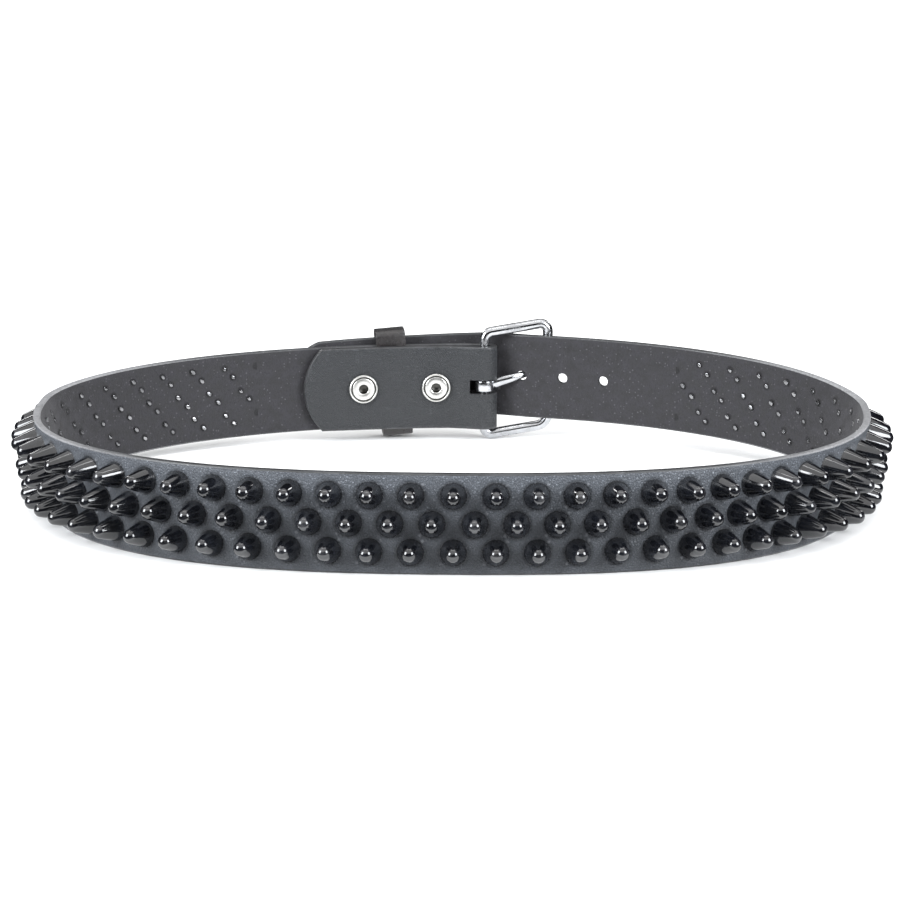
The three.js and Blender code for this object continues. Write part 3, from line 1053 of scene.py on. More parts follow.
class Surface:
    """A material under work: its graph and its shader."""

    def __init__(self, name: str, **fixed: Any) -> None:
        """Make the material.

        Args:
            name: Name of the material.
            **fixed: Values that are the same all over, with spaces as underscores.
        """
        self.material = bpy.data.materials.new(name)
        self.material.use_nodes = True
        self.graph = Graph(self.material.node_tree)
        self.shader = self.material.node_tree.nodes["Principled BSDF"]
        for label, value in fixed.items():
            self.shader.inputs[label.replace("_", " ")].default_value = value

    def coordinates(self, kind: Coordinates) -> Any:
        """Return the socket that a pattern is read from.

        Args:
            kind: Which coordinates.

        Returns:
            The socket.
        """
        maps = {Coordinates.STRAP: STRAP_MAP, Coordinates.STUDS: STUD_MAP}
        if kind in maps:
            return self.graph.add("ShaderNodeUVMap", uv_map=maps[kind]).outputs["UV"]
        return self.graph.add("ShaderNodeTexCoord").outputs["Object"]

    def finish(self, colour: Any, roughness: Any, height: Any, depth: float) -> bpy.types.Material:
        """Feed the shader and return the material.

        Args:
            colour: Colour over the surface.
            roughness: Roughness over the surface.
            height: Relief over the surface.
            depth: Depth of the relief in metres.

        Returns:
            The finished material.
        """
        bump = self.graph.add(
            "ShaderNodeBump", {"Height": height, "Strength": 1.0, "Distance": depth},
        )
        self.graph.feed(self.shader.inputs["Base Color"], colour)
        self.graph.feed(self.shader.inputs["Roughness"], roughness)
        self.graph.feed(self.shader.inputs["Normal"], bump.outputs["Normal"])
        return self.material


# Finishes


@dataclass(frozen=True)
class GrainFinish:
    """Finished side of black leather, with studs through it or without.

    Attributes:
        name: Name of the material.
        where: Map that its pattern is read from.
        studded: Whether studs go through it.
        dark: Colour of the creases, laid on as painted shade, and of the dark blotches.
        light: Colour of the pebbles.
        fleck: Colour of the few bright flecks; on the strap they stand mostly in the top half, as
            painted highlights on the pebbles.
        worn: Colour of the scratches and of the worn strip along the edges.
        high: Colour of the painted light on the top half, which is made lighter as if lit from
            above.
        folded: Colour of the flap, a darker copy of the grain as painted shade.
        dent_shade: Colour of the painted shade in the dent round each stud.
        glint: Colour of the painted glints on the small bulges beside the studs.
        cell: Size of a pebble.
        depth: Depth of the relief.
        smooth: Roughness of the smooth places.
        rough: Roughness of the rough places.
        coat: Weight of the wax.
        sheen: Weight of the sheen.
        flap_ends: Where along the strap the flap's colour starts to end, and ends.
    """

    name: str = "leather_grain"
    where: Coordinates = Coordinates.STRAP
    studded: bool = True
    dark: Colour = grey(0.036, 0.0395, 0.046)
    light: Colour = grey(0.066, 0.073, 0.085)
    fleck: Colour = grey(0.32, 0.35, 0.4)
    worn: Colour = grey(0.1, 0.105, 0.115)
    high: Colour = grey(0.09, 0.101, 0.12)
    folded: Colour = grey(0.0185, 0.02, 0.0225)
    dent_shade: Colour = grey(0.012, 0.012, 0.014)
    glint: Colour = grey(0.3, 0.31, 0.34)
    cell: float = 0.95
    depth: float = 0.3
    smooth: float = 0.36
    rough: float = 0.5
    coat: float = 0.12
    sheen: float = 0.05
    flap_ends: tuple[float, float] = (-0.486, -0.478)

    def strap_marks(
        self, graph: Graph, place: Source, colour: Any, bright: Any, shade: Any,
    ) -> tuple[Any, Any]:
        """Add what changes along and across the strap: painted light and painted highlights on the
        top half, painted shade on the flap and a worn strip along the edges.

        Args:
            graph: Graph of the material.
            place: Way along the strap and height on it.
            colour: Colour so far.
            bright: Amount of the flecks so far.
            shade: Depth of the creases.

        Returns:
            The colour and the amount of the flecks.
        """
        along, across, _ = graph.apart(place)
        # Painted light: the top half of the strap is made lighter and keeps most of the bright
        # flecks, as where light falls from above.
        top_light = graph.ramp(across, 0.016, 0.036)
        bright = graph.times(bright, graph.plus(graph.times(top_light, 0.9), 0.1))
        colour = graph.blend(graph.times(top_light, 0.4), colour, self.high)
        # Painted highlights: pale pores on the pebbles of the top half, outside the creases, where
        # the crests would catch the light.
        pores = graph.ramp(graph.noise(place, 1700.0, 2.0, 0.6), 0.52, 0.68)
        paler_spots = graph.minus(graph.times(top_light, 0.75), graph.times(top_light, shade))
        bright = graph.larger(bright, graph.times(graph.times(pores, paler_spots), 0.5))
        # Painted shade: the flap, inside the rear of the loop, takes a darker colour and loses most
        # of its bright flecks.
        folded = graph.rest(graph.ramp(along, *self.flap_ends))
        colour = graph.blend(graph.times(folded, 0.93), colour, self.folded)
        bright = graph.times(bright, graph.rest(graph.times(folded, 0.9)))
        low = graph.smaller(across, graph.minus(BeltLine.width * MM, across))
        worn = WEAR.place(graph, Vector=place, Distance=low, Reach=0.0012).outputs["Mask"]
        return graph.blend(graph.times(worn, 0.35), colour, self.worn), bright

    def stud_marks(self, surface: Surface, colour: Any, height: Any) -> tuple[Any, Any]:
        """Press the leather in round each stud, with painted shade in the dent, and add painted
        glints on small bulges beside it.

        Args:
            surface: The material under work.
            colour: Colour so far.
            height: Relief so far.

        Returns:
            The colour and the relief.
        """
        graph = surface.graph
        seats = SEATS.place(graph, Vector=surface.coordinates(Coordinates.STUDS)).outputs
        # Painted shade: the dent round each stud is darkened in the colour as well as lowered in
        # the relief.
        dent_shade = graph.rest(graph.ramp(seats["Seat"], 0.0049, 0.0064))
        colour = graph.blend(graph.times(dent_shade, 0.5), colour, self.dent_shade)
        # Painted highlights: small glints beside each stud, on bulges that the relief also raises.
        colour = graph.blend(graph.times(seats["Glint Bulge"], 0.35), colour, self.glint)
        height = graph.minus(height, graph.times(dent_shade, 0.8))
        return colour, graph.plus(height, graph.times(seats["Glint Bulge"], 1.5))

    def material(self) -> bpy.types.Material:
        """Return pebbled, lightly waxed leather."""
        surface = Surface(
            self.name, Coat_Weight=self.coat, Coat_Roughness=0.3, Sheen_Weight=self.sheen,
            Sheen_Roughness=0.4, IOR=1.48,
        )
        graph = surface.graph
        place = surface.coordinates(self.where)
        pebbles = PEBBLES.place(graph, Vector=place, Cell=self.cell * MM).outputs
        tone = MOTTLE.place(graph, Vector=place, Scale=26.0).outputs["Tone"]
        fine = MOTTLE.place(graph, Vector=place, Scale=240.0).outputs["Tone"]
        lines = HAIRLINES.place(graph, Vector=place, Scale=210.0, Amount=0.5).outputs["Line"]
        mixed = graph.plus(graph.times(tone, 0.6), graph.times(fine, 0.4))
        colour = graph.blend(mixed, self.dark, self.light)
        # Painted shade: the creases between the pebbles are darkened in the colour.
        shade = graph.times(pebbles["Crease"], 0.85)
        colour = graph.blend(shade, colour, self.dark)
        bright = graph.times(pebbles["Fleck"], 0.5)
        if self.where is Coordinates.STRAP:
            colour, bright = self.strap_marks(graph, place, colour, bright, shade)
        colour = graph.blend(bright, colour, self.fleck)
        colour = graph.blend(graph.times(lines, 0.4), colour, self.worn)
        height = pebbles["Height"]
        if self.studded:
            colour, height = self.stud_marks(surface, colour, height)
        rough = graph.ramp(tone, 0.0, 1.0, self.smooth, self.rough)
        rough = graph.minus(rough, graph.times(pebbles["Fleck"], 0.08))
        return surface.finish(colour, rough, height, self.depth * MM)


@dataclass(frozen=True)
class FleshFinish:
    """Raw side of the leather with loose fibres."""

    name: str = "leather_flesh"
    dark: Colour = grey(0.0145, 0.014, 0.016)
    light: Colour = grey(0.031, 0.03, 0.035)
    fleck: Colour = grey(0.12, 0.115, 0.13)
    prong_shade: Colour = grey(0.004, 0.004, 0.005)

    def material(self) -> bpy.types.Material:
        """Return mottled, napped leather with painted shade round the prongs."""
        surface = Surface(self.name, Sheen_Weight=0.1, Sheen_Roughness=0.55, IOR=1.42)
        graph = surface.graph
        place = surface.coordinates(Coordinates.STRAP)
        tone = MOTTLE.place(graph, Vector=place, Scale=230.0).outputs["Tone"]
        nap = graph.noise(graph.stretched(place, (1.0, 0.6, 1.0)), 1100.0, 4.0, 0.7)
        pebbles = PEBBLES.place(graph, Vector=place, Cell=1.1 * MM)
        seats = SEATS.place(graph, Vector=surface.coordinates(Coordinates.STUDS))
        colour = graph.blend(tone, self.dark, self.light)
        colour = graph.blend(graph.ramp(nap, 0.3, 0.5, 0.75, 0.0), colour, self.dark)
        colour = graph.blend(graph.ramp(nap, 0.55, 0.68, 0.0, 0.45), colour, self.light)
        colour = graph.blend(graph.times(pebbles.outputs["Fleck"], 0.35), colour, self.fleck)
        # Painted shade: the leather round each prong is darkened in the colour as well as lowered
        # in the relief.
        dent_and_shade = graph.rest(graph.ramp(seats.outputs["Prong"], 0.0011, 0.0021))
        colour = graph.blend(graph.times(dent_and_shade, 0.8), colour, self.prong_shade)
        height = graph.plus(nap, graph.times(pebbles.outputs["Height"], 0.3))
        height = graph.minus(height, graph.times(dent_and_shade, 1.4))
        rough = graph.ramp(tone, 0.0, 1.0, 0.62, 0.85)
        return surface.finish(colour, rough, height, 0.12 * MM)


@dataclass(frozen=True)
class EdgeFinish:
    """Cut and dressed edge of the leather."""

    name: str = "leather_edge"
    dark: Colour = grey(0.018, 0.0185, 0.02)
    light: Colour = grey(0.055, 0.056, 0.06)
    scratch_and_sheen: Colour = grey(0.34, 0.34, 0.35)
    sheen_from: tuple[float, float] = (0.1, 0.168)

    def material(self) -> bpy.types.Material:
        """Return a burnished edge with layers, small dents, paler scratches and painted sheen
        towards both ends of the belt.
        """
        surface = Surface(self.name, Coat_Weight=0.25, Coat_Roughness=0.25, IOR=1.5)
        graph = surface.graph
        place = surface.coordinates(Coordinates.OBJECT)
        tone = MOTTLE.place(graph, Vector=place, Scale=70.0).outputs["Tone"]
        layers = graph.noise(graph.stretched(place, (0.3, 0.3, 0.3)), 2600.0, 4.0, 0.7)
        lines = HAIRLINES.place(graph, Vector=place, Scale=260.0, Amount=0.8).outputs["Line"]
        share = graph.plus(graph.times(tone, 0.6), graph.times(layers, 0.4))
        colour = graph.blend(share, self.dark, self.light)
        colour = graph.blend(graph.times(lines, 0.3), colour, self.scratch_and_sheen)
        # Painted sheen: the edge turns paler towards both ends of the belt, broken up by its
        # layers.
        sideways = graph.ramp(graph.size(graph.apart(place)[0]), *self.sheen_from)
        end_sheen = graph.times(sideways, graph.ramp(layers, 0.3, 0.6, 0.45, 0.8))
        colour = graph.blend(end_sheen, colour, self.scratch_and_sheen)
        rough = graph.ramp(tone, 0.0, 1.0, 0.38, 0.58)
        return surface.finish(colour, rough, layers, 0.06 * MM)


@dataclass(frozen=True)
class StudFinish:
    """Black gloss of the studs."""

    name: str = "stud_gloss"
    dark: Colour = grey(0.0025, 0.0027, 0.0035)
    light: Colour = grey(0.007, 0.008, 0.011)
    dust: Colour = grey(0.07, 0.07, 0.075)
    paler_spots: Colour = grey(0.1, 0.1, 0.105)

    def material(self) -> bpy.types.Material:
        """Return glossy black metal with dust at the foot and worn spots at the tip."""
        surface = Surface(self.name, IOR=1.85)
        graph = surface.graph
        place = surface.coordinates(Coordinates.OBJECT)
        stored = graph.add("ShaderNodeAttribute", attribute_name=RISE, attribute_type="GEOMETRY")
        rise = stored.outputs["Fac"]
        tone = MOTTLE.place(graph, Vector=place, Scale=110.0).outputs["Tone"]
        lines = HAIRLINES.place(graph, Vector=place, Scale=420.0, Amount=0.8).outputs["Line"]
        ripple = graph.noise(place, 190.0, 2.0, 0.5)
        foot = graph.rest(graph.ramp(rise, 0.0, 0.14))
        dusty = graph.times(foot, graph.ramp(graph.noise(place, 900.0, 4.0, 0.7), 0.42, 0.7))
        tip = graph.times(graph.ramp(rise, 0.86, 1.0), graph.ramp(ripple, 0.45, 0.7))
        colour = graph.blend(tone, self.dark, self.light)
        colour = graph.blend(graph.times(dusty, 0.5), colour, self.dust)
        colour = graph.blend(graph.times(graph.larger(lines, tip), 0.3), colour, self.paler_spots)
        rough = graph.ramp(tone, 0.0, 1.0, 0.07, 0.13)
        rough = graph.plus(rough, graph.times(dusty, 0.3))
        rough = graph.plus(rough, graph.times(tip, 0.1))
        return surface.finish(colour, rough, ripple, 0.02 * MM)


@dataclass(frozen=True)
class MetalFinish:
    """Plated metal of the buckle, the snaps and the prongs."""

    name: str = "buckle_metal"
    bright: Colour = grey(0.62, 0.63, 0.65)
    dull: Colour = grey(0.3, 0.3, 0.31)
    smooth: float = 0.12
    rough: float = 0.28
    scratch: float = 0.7

    def material(self) -> bpy.types.Material:
        """Return polished plating with hairlines and a little tarnish."""
        surface = Surface(self.name, Metallic=1.0)
        graph = surface.graph
        place = surface.coordinates(Coordinates.OBJECT)
        tone = MOTTLE.place(graph, Vector=place, Scale=95.0).outputs["Tone"]
        scratched = HAIRLINES.place(graph, Vector=place, Scale=520.0, Amount=self.scratch)
        lines = scratched.outputs["Line"]
        spots = graph.ramp(graph.noise(place, 700.0, 5.0, 0.7), 0.6, 0.72)
        colour = graph.blend(graph.times(tone, 0.55), self.bright, self.dull)
        colour = graph.blend(graph.times(spots, 0.4), colour, self.dull)
        rough = graph.ramp(tone, 0.0, 1.0, self.smooth, self.rough)
        rough = graph.plus(rough, graph.times(lines, 0.15))
        height = graph.minus(graph.times(tone, 0.5), lines)
        return surface.finish(colour, rough, height, 0.012 * MM)


# Pieces


@dataclass
class LeatherStrap:
    """The strap: a flap folded round the buckle's bar, the studded loop and the tail."""

    line: BeltLine
    studs: StudPlan
    edge_radius: float = 0.7
    face_steps: int = 12
    corner_steps: int = 3
    hole_reach: float = 27.7
    hole_pitch: float = 19.0
    hole_count: int = 5
    hole_radius: float = 2.3
    snap_reaches: tuple[float, float] = (-45.6, -11.5)
    snap_height: float = 24.4
    snap_hole_radius: float = 3.5
    cutter_sides: int = 28
    slot_start: float = 4.4
    slot_height: float = 24.9
    slot_half: float = 3.2
    grain: GrainFinish = GrainFinish()
    flesh: FleshFinish = FleshFinish()
    edge: EdgeFinish = EdgeFinish()

    def section(self, half: float) -> tuple[list[tuple[float, float]], list[int]]:
        """Return one cross section.

        Args:
            half: Half of its height.

        Returns:
            Pairs of the way out and the height, and the side of each strip that follows.
        """
        thick = self.line.thickness / 2
        radius = min(self.edge_radius, half * 0.8)
        reach, inset = half - radius, thick - radius
        outline: list[tuple[float, float]] = []
        sides: list[int] = []
        for sign, side in ((1, Side.GRAIN), (-1, Side.FLESH)):
            for i in range(self.face_steps):
                outline.append((sign * thick, sign * reach * (2 * i / self.face_steps - 1)))
                sides.append(int(side))
            for quarter in range(2):
                for i in range(self.corner_steps + quarter):
                    angle = math.pi / 2 * i / self.corner_steps
                    turn = (math.cos(angle), math.sin(angle))
                    if quarter:
                        turn = (-math.sin(angle), math.cos(angle))
                    middle = inset if quarter == 0 else -inset
                    out, high = middle + radius * turn[0], reach + radius * turn[1]
                    outline.append((sign * out, sign * high))
                    sides.append(int(Side.EDGE))
            outline.pop()
            sides.pop()
        return outline, sides

    def skin(self) -> Skin:
        """Return the leather before its holes are cut.

        Returns:
            The skin with its two maps.
        """
        first = self.studs.length_of(self.studs.first - 0.5)
        last = self.studs.length_of(self.studs.last + 0.5)
        stations, start = self.line.stations(first, last)
        rings, along, across = [], [], []
        way = 0.0
        sides: list[int] = []
        for i, station in enumerate(stations):
            before = stations[max(0, i - 1)].point
            after = stations[min(len(stations) - 1, i + 1)].point
            ahead = (after - before).normalized()
            out = Vector((ahead.y, -ahead.x, 0.0))
            lean = self.line.lean(station.length)
            outline, sides = self.section(station.half)
            middle = station.lift + self.line.width / 2
            rings.append([
                station.point + out * (deep - lean * high) + UP * (middle + high)
                for deep, high in outline
            ])
            way += (station.point - before).length if i else 0.0
            along.append(way)
            across.append([(self.line.width / 2 + high) * MM for _, high in outline])
        along = [way + first - along[start] for way in along]
        return Skin(
            rings, along=[way * MM for way in along], across=across,
            numbers=[self.studs.number_at(way) for way in along], sides=sides,
        )

    def cylinder(
        self, reach: float, offset: float, height: float, radius: float, half_deep: float,
    ) -> Skin:
        """Return a round cutter through the leather of the rear.

        Args:
            reach: Where it is along the rear.
            offset: Where its middle is, out from the oval.
            height: Its height over the floor.
            radius: Its radius.
            half_deep: Half of its length.

        Returns:
            The cutter.
        """
        point, outward, along = self.line.rear_frame(reach, offset)
        centre = point + UP * height
        return Skin([
            ring_at(centre + outward * deep, along, UP, radius, radius, self.cutter_sides)
            for deep in (-half_deep, half_deep)
        ])

    def cutters(self) -> list[Skin]:
        """Return the cutters of the holes, the snaps and the tongue's slot.

        Returns:
            One skin for each cut.
        """
        line = self.line
        found = []
        for i in range(self.hole_count):
            reach = self.hole_reach + (i - (self.hole_count - 1) / 2) * self.hole_pitch
            lift = line.tail.value(reach, 2) * line.rear_share(line.length_of(reach))
            offset, height = line.tail.value(reach), lift + line.width / 2
            found.append(self.cylinder(reach, offset, height, self.hole_radius, 2.2))
        for reach in self.snap_reaches:
            inner, outer = line.flap.value(reach), line.outer_layer.value(reach)
            deep = (outer - inner) / 2 + line.thickness / 2 + 0.3
            middle = (inner + outer) / 2
            found.append(
                self.cylinder(reach, middle, self.snap_height, self.snap_hole_radius, deep)
            )
        thick = line.thickness / 2
        inner = line.heel_offset - line.fold_radius - thick - 1
        outer = line.heel_offset + line.fold_radius + thick + 0.4
        rings = []
        for reach in (self.slot_start, line.heel_reach + line.fold_radius + thick + 1):
            corners = ((inner, -1), (outer, -1), (outer, 1), (inner, 1))
            rings.append([
                line.rear_frame(reach, offset)[0] + UP * (self.slot_height + side * self.slot_half)
                for offset, side in corners
            ])
        found.append(Skin(rings))
        return found

    def build(self) -> bpy.types.Object:
        """Return the finished strap.

        Returns:
            The piece, tied to the frame.
        """
        finishes = [self.grain.material(), self.flesh.material(), self.edge.material()]
        whole = add_object("belt_leather", self.skin().build("belt_leather"))
        parts = [skin.build("part") for skin in self.cutters()]
        cutter = add_object("cutter", join_meshes("cutter", parts))
        for obj in (whole, cutter):
            for finish in finishes:
                obj.data.materials.append(finish)
        for polygon in cutter.data.polygons:
            polygon.material_index = int(Side.EDGE)
        cut = whole.modifiers.new("cut", "BOOLEAN")
        cut.operation, cut.solver, cut.object = "DIFFERENCE", "EXACT", cutter
        cut.material_mode = "INDEX"
        mesh = evaluated_mesh(whole, "belt_leather_cut")
        whole.modifiers.remove(cut)
        whole.data = mesh
        bpy.data.objects.remove(cutter)
        mesh.shade_smooth()
        mesh.set_sharp_from_angle(angle=math.radians(38))
        return seat_piece(whole, "studded_strap")


class RepeatTree:
    """Geometry nodes that set one shape on each point of a mesh."""

    INPUTS = (
        ("Points", "NodeSocketGeometry"), ("Shape", "NodeSocketObject"),
        ("Tilt", "NodeSocketFloat"), ("Size Spread", "NodeSocketFloat"),
        ("Seed", "NodeSocketInt"), ("Finish", "NodeSocketMaterial"),
    )

    def __init__(self, name: str) -> None:
        """Build the tree.

        Args:
            name: Name of the tree.
        """
        self.tree = bpy.data.node_groups.new(name, "GeometryNodeTree")
        self.sockets: dict[str, str] = {}
        for label, kind in self.INPUTS:
            socket = self.tree.interface.new_socket(name=label, in_out="INPUT", socket_type=kind)
            self.sockets[label] = socket.identifier
        self.tree.interface.new_socket(
            name="Pieces", in_out="OUTPUT", socket_type="NodeSocketGeometry",
        )
        graph = Graph(self.tree)
        given = graph.add("NodeGroupInput").outputs
        frame_axes = graph.add(
            "FunctionNodeAxesToRotation",
            {0: self.attribute(graph, "axis"), 1: self.attribute(graph, "along")},
            primary_axis="Z", secondary_axis="X",
        )
        lowest = graph.scaled((-1.0, -1.0, 0.0), given["Tilt"])
        highest = graph.scaled((1.0, 1.0, 0.0), given["Tilt"])
        sway = graph.add(
            "FunctionNodeRandomValue", {0: lowest, 1: highest, "Seed": given["Seed"]},
            data_type="FLOAT_VECTOR",
        )
        turn = graph.add("FunctionNodeEulerToRotation", {0: sway.outputs[0]})
        turned = graph.add(
            "FunctionNodeRotateRotation", {0: frame_axes.outputs[0], 1: turn.outputs[0]},
            rotation_space="LOCAL",
        )
        smallest = graph.rest(given["Size Spread"])
        largest = graph.plus(1.0, given["Size Spread"])
        size = graph.add(
            "FunctionNodeRandomValue", {2: smallest, 3: largest, "Seed": given["Seed"]},
            data_type="FLOAT",
        )
        shape = graph.add(
            "GeometryNodeObjectInfo", {"Object": given["Shape"]}, transform_space="ORIGINAL",
        )
        placed = graph.add(
            "GeometryNodeInstanceOnPoints",
            {
                "Points": given["Points"], "Instance": shape.outputs["Geometry"],
                "Rotation": turned.outputs[0], "Scale": size.outputs[1],
            },
        )
        real = graph.add("GeometryNodeRealizeInstances", {0: placed.outputs[0]})
        dressed = graph.add(
            "GeometryNodeSetMaterial", {"Geometry": real.outputs[0], "Material": given["Finish"]},
        )
        graph.add("NodeGroupOutput", {0: dressed.outputs[0]})

    def attribute(self, graph: Graph, name: str) -> Any:
        """Return a vector that the points carry."""
        node = graph.add(
            "GeometryNodeInputNamedAttribute", {"Name": name}, data_type="FLOAT_VECTOR",
        )
        return node.outputs[0]

    def run(
        self, name: str, places: list[tuple[Vector, Vector, Vector]], shape: bpy.types.Mesh,
        finish: bpy.types.Material, tilt: float, spread: float, seed: int,
    ) -> bpy.types.Object:
        """Set a shape on every place.

        Args:
            name: Name of the new piece.
            places: Point, axis and side direction of each shape, in millimetres.
            shape: The shape, with its foot at the origin and its axis up.
            finish: Material of the piece.
            tilt: Largest random tilt in radians.
            spread: Largest random change of size.
            seed: Seed of the random values.

        Returns:
            One plain mesh object.
        """
        mesh = bpy.data.meshes.new(name + "_points")
        mesh.from_pydata([tuple(p * MM) for p, _, _ in places], [], [])
        for label, column in (("axis", 1), ("along", 2)):
            layer = mesh.attributes.new(label, "FLOAT_VECTOR", "POINT")
            layer.data.foreach_set("vector", [c for row in places for c in row[column]])
        carrier = add_object(name + "_points", mesh)
        template = add_object(name + "_shape", shape)
        modifier = carrier.modifiers.new("repeat", "NODES")
        modifier.node_group = self.tree
        values = {
            "Shape": template, "Tilt": tilt, "Size Spread": spread, "Seed": seed, "Finish": finish,
        }
        for label, value in values.items():
            modifier[self.sockets[label]] = value
        piece = add_object(name, evaluated_mesh(carrier, name))
        for obj in (carrier, template):
            bpy.data.objects.remove(obj)
        for label in ("axis", "along"):
            found = piece.data.attributes.get(label)
            if found:
                piece.data.attributes.remove(found)
        return piece


@dataclass
class StudField:
    """Three rows of round-tipped cone studs."""

    line: BeltLine
    studs: StudPlan
    tree: RepeatTree
    base_radius: float = 5.25
    tip_radius: float = 2.9
    height: float = 10.8
    sunk: float = 0.6
    bulge: float = 0.1
    sides: int = 20
    tip_steps: int = 6
    seed: int = 11
    finish: StudFinish = StudFinish()

    def profile(self) -> list[tuple[float, float]]:
        """Return the outline of a stud: a straight cone that runs into a round tip.

        Returns:
            Pairs of the radius and the rise.
        """
        middle = self.height - self.tip_radius
        narrowing = self.base_radius * 0.98 - self.tip_radius
        lean = math.asin(narrowing / math.hypot(self.base_radius, middle))
        slope = math.tan(lean)
        foot = (self.base_radius + self.sunk * slope, -self.sunk)
        outline = [(0.0, -self.sunk), foot]
        top = middle + self.tip_radius * math.sin(lean)
        for share in (0.3, 0.65):
            end = self.tip_radius * math.cos(lean)
            straight = self.base_radius + (end - self.base_radius) * share
            outline.append((straight + self.bulge * 4 * share * (1 - share), top * share))
        for i in range(self.tip_steps):
            angle = lean + (math.pi / 2 - lean) * i / self.tip_steps
            radius, rise = self.tip_radius * math.cos(angle), self.tip_radius * math.sin(angle)
            outline.append((radius, middle + rise))
        outline.append((0.0, self.height))
        return outline

    def shape(self) -> bpy.types.Mesh:
        """Return one stud with its rise stored on its points."""
        skin = lathe(self.profile(), Vector(), UP, Vector((1.0, 0.0, 0.0)), self.sides)
        mesh = skin.build("one_stud", 50.0)
        layer = mesh.attributes.new(RISE, "FLOAT", "POINT")
        layer.data.foreach_set("value", [v.co.z / (self.height * MM) for v in mesh.vertices])
        return mesh

    def places(self, side: int) -> list[tuple[Vector, Vector, Vector]]:
        """Return the seat, axis and side direction of each stud on one side of the leather.

        Args:
            side: 1 for the grain, -1 for the flesh.

        Returns:
            A point in millimetres and two unit directions for each stud.
        """
        found = []
        for length, height in self.studs.places():
            outward = self.line.oval.outward(length)
            lean = self.line.lean(length)
            out = side * self.line.thickness / 2 - lean * (height - self.line.width / 2)
            point = self.line.oval.at(length) + outward * out
            axis = Vector((outward.x, outward.y, lean)).normalized() * side
            along = Vector((-outward.y, outward.x, 0.0))
            found.append((point + UP * (self.line.loop_lift(length) + height), axis, along))
        return found

    def build(self) -> bpy.types.Object:
        """Return all studs as one piece."""
        piece = self.tree.run(
            "belt_studs", self.places(1), self.shape(), self.finish.material(),
            math.radians(1.2), 0.015, self.seed,
        )
        return seat_piece(piece)


@dataclass
class ProngField:
    """The folded prongs that hold the studs, on the raw side of the leather."""

    field_of_studs: StudField
    tree: RepeatTree
    half_long: float = 1.25
    half_wide: float = 0.8
    rise: float = 0.8
    seed: int = 23
    finish: MetalFinish = MetalFinish(
        "prong_metal", grey(0.34, 0.34, 0.35), grey(0.06, 0.06, 0.065), 0.16, 0.36, 0.5,
    )

    def shape(self) -> bpy.types.Mesh:
        """Return two low domed petals, one on each side of the middle.

        Returns:
            The joined petals.
        """
        reach = self.field_of_studs.studs.prong_reach * math.sqrt(0.5)
        meshes = []
        for sign in (-1, 1):
            centre = Vector((-sign * reach, sign * reach, 0.0))
            long_way = Vector((-math.sqrt(0.5), math.sqrt(0.5), 0.0))
            wide_way = Vector((-math.sqrt(0.5), -math.sqrt(0.5), 0.0))
            rings = []
            for size, high in ((1.0, -0.4), (1.0, self.rise * 0.45), (0.82, self.rise * 0.85)):
                half_long, half_wide = self.half_long * size, self.half_wide * size
                foot = centre + UP * high
                rings.append(ring_at(foot, long_way, wide_way, half_long, half_wide, 10))
            meshes.append(Skin(rings, poles=(None, centre + UP * self.rise)).build("petal", 70.0))
        return join_meshes("prong_pair", meshes)

    def build(self) -> bpy.types.Object:
        """Return all prongs as one piece."""
        places = [(p, a, -t) for p, a, t in self.field_of_studs.places(-1)]
        piece = self.tree.run(
            "belt_prongs", places, self.shape(), self.finish.material(),
            math.radians(7), 0.14, self.seed,
        )
        return seat_piece(piece)


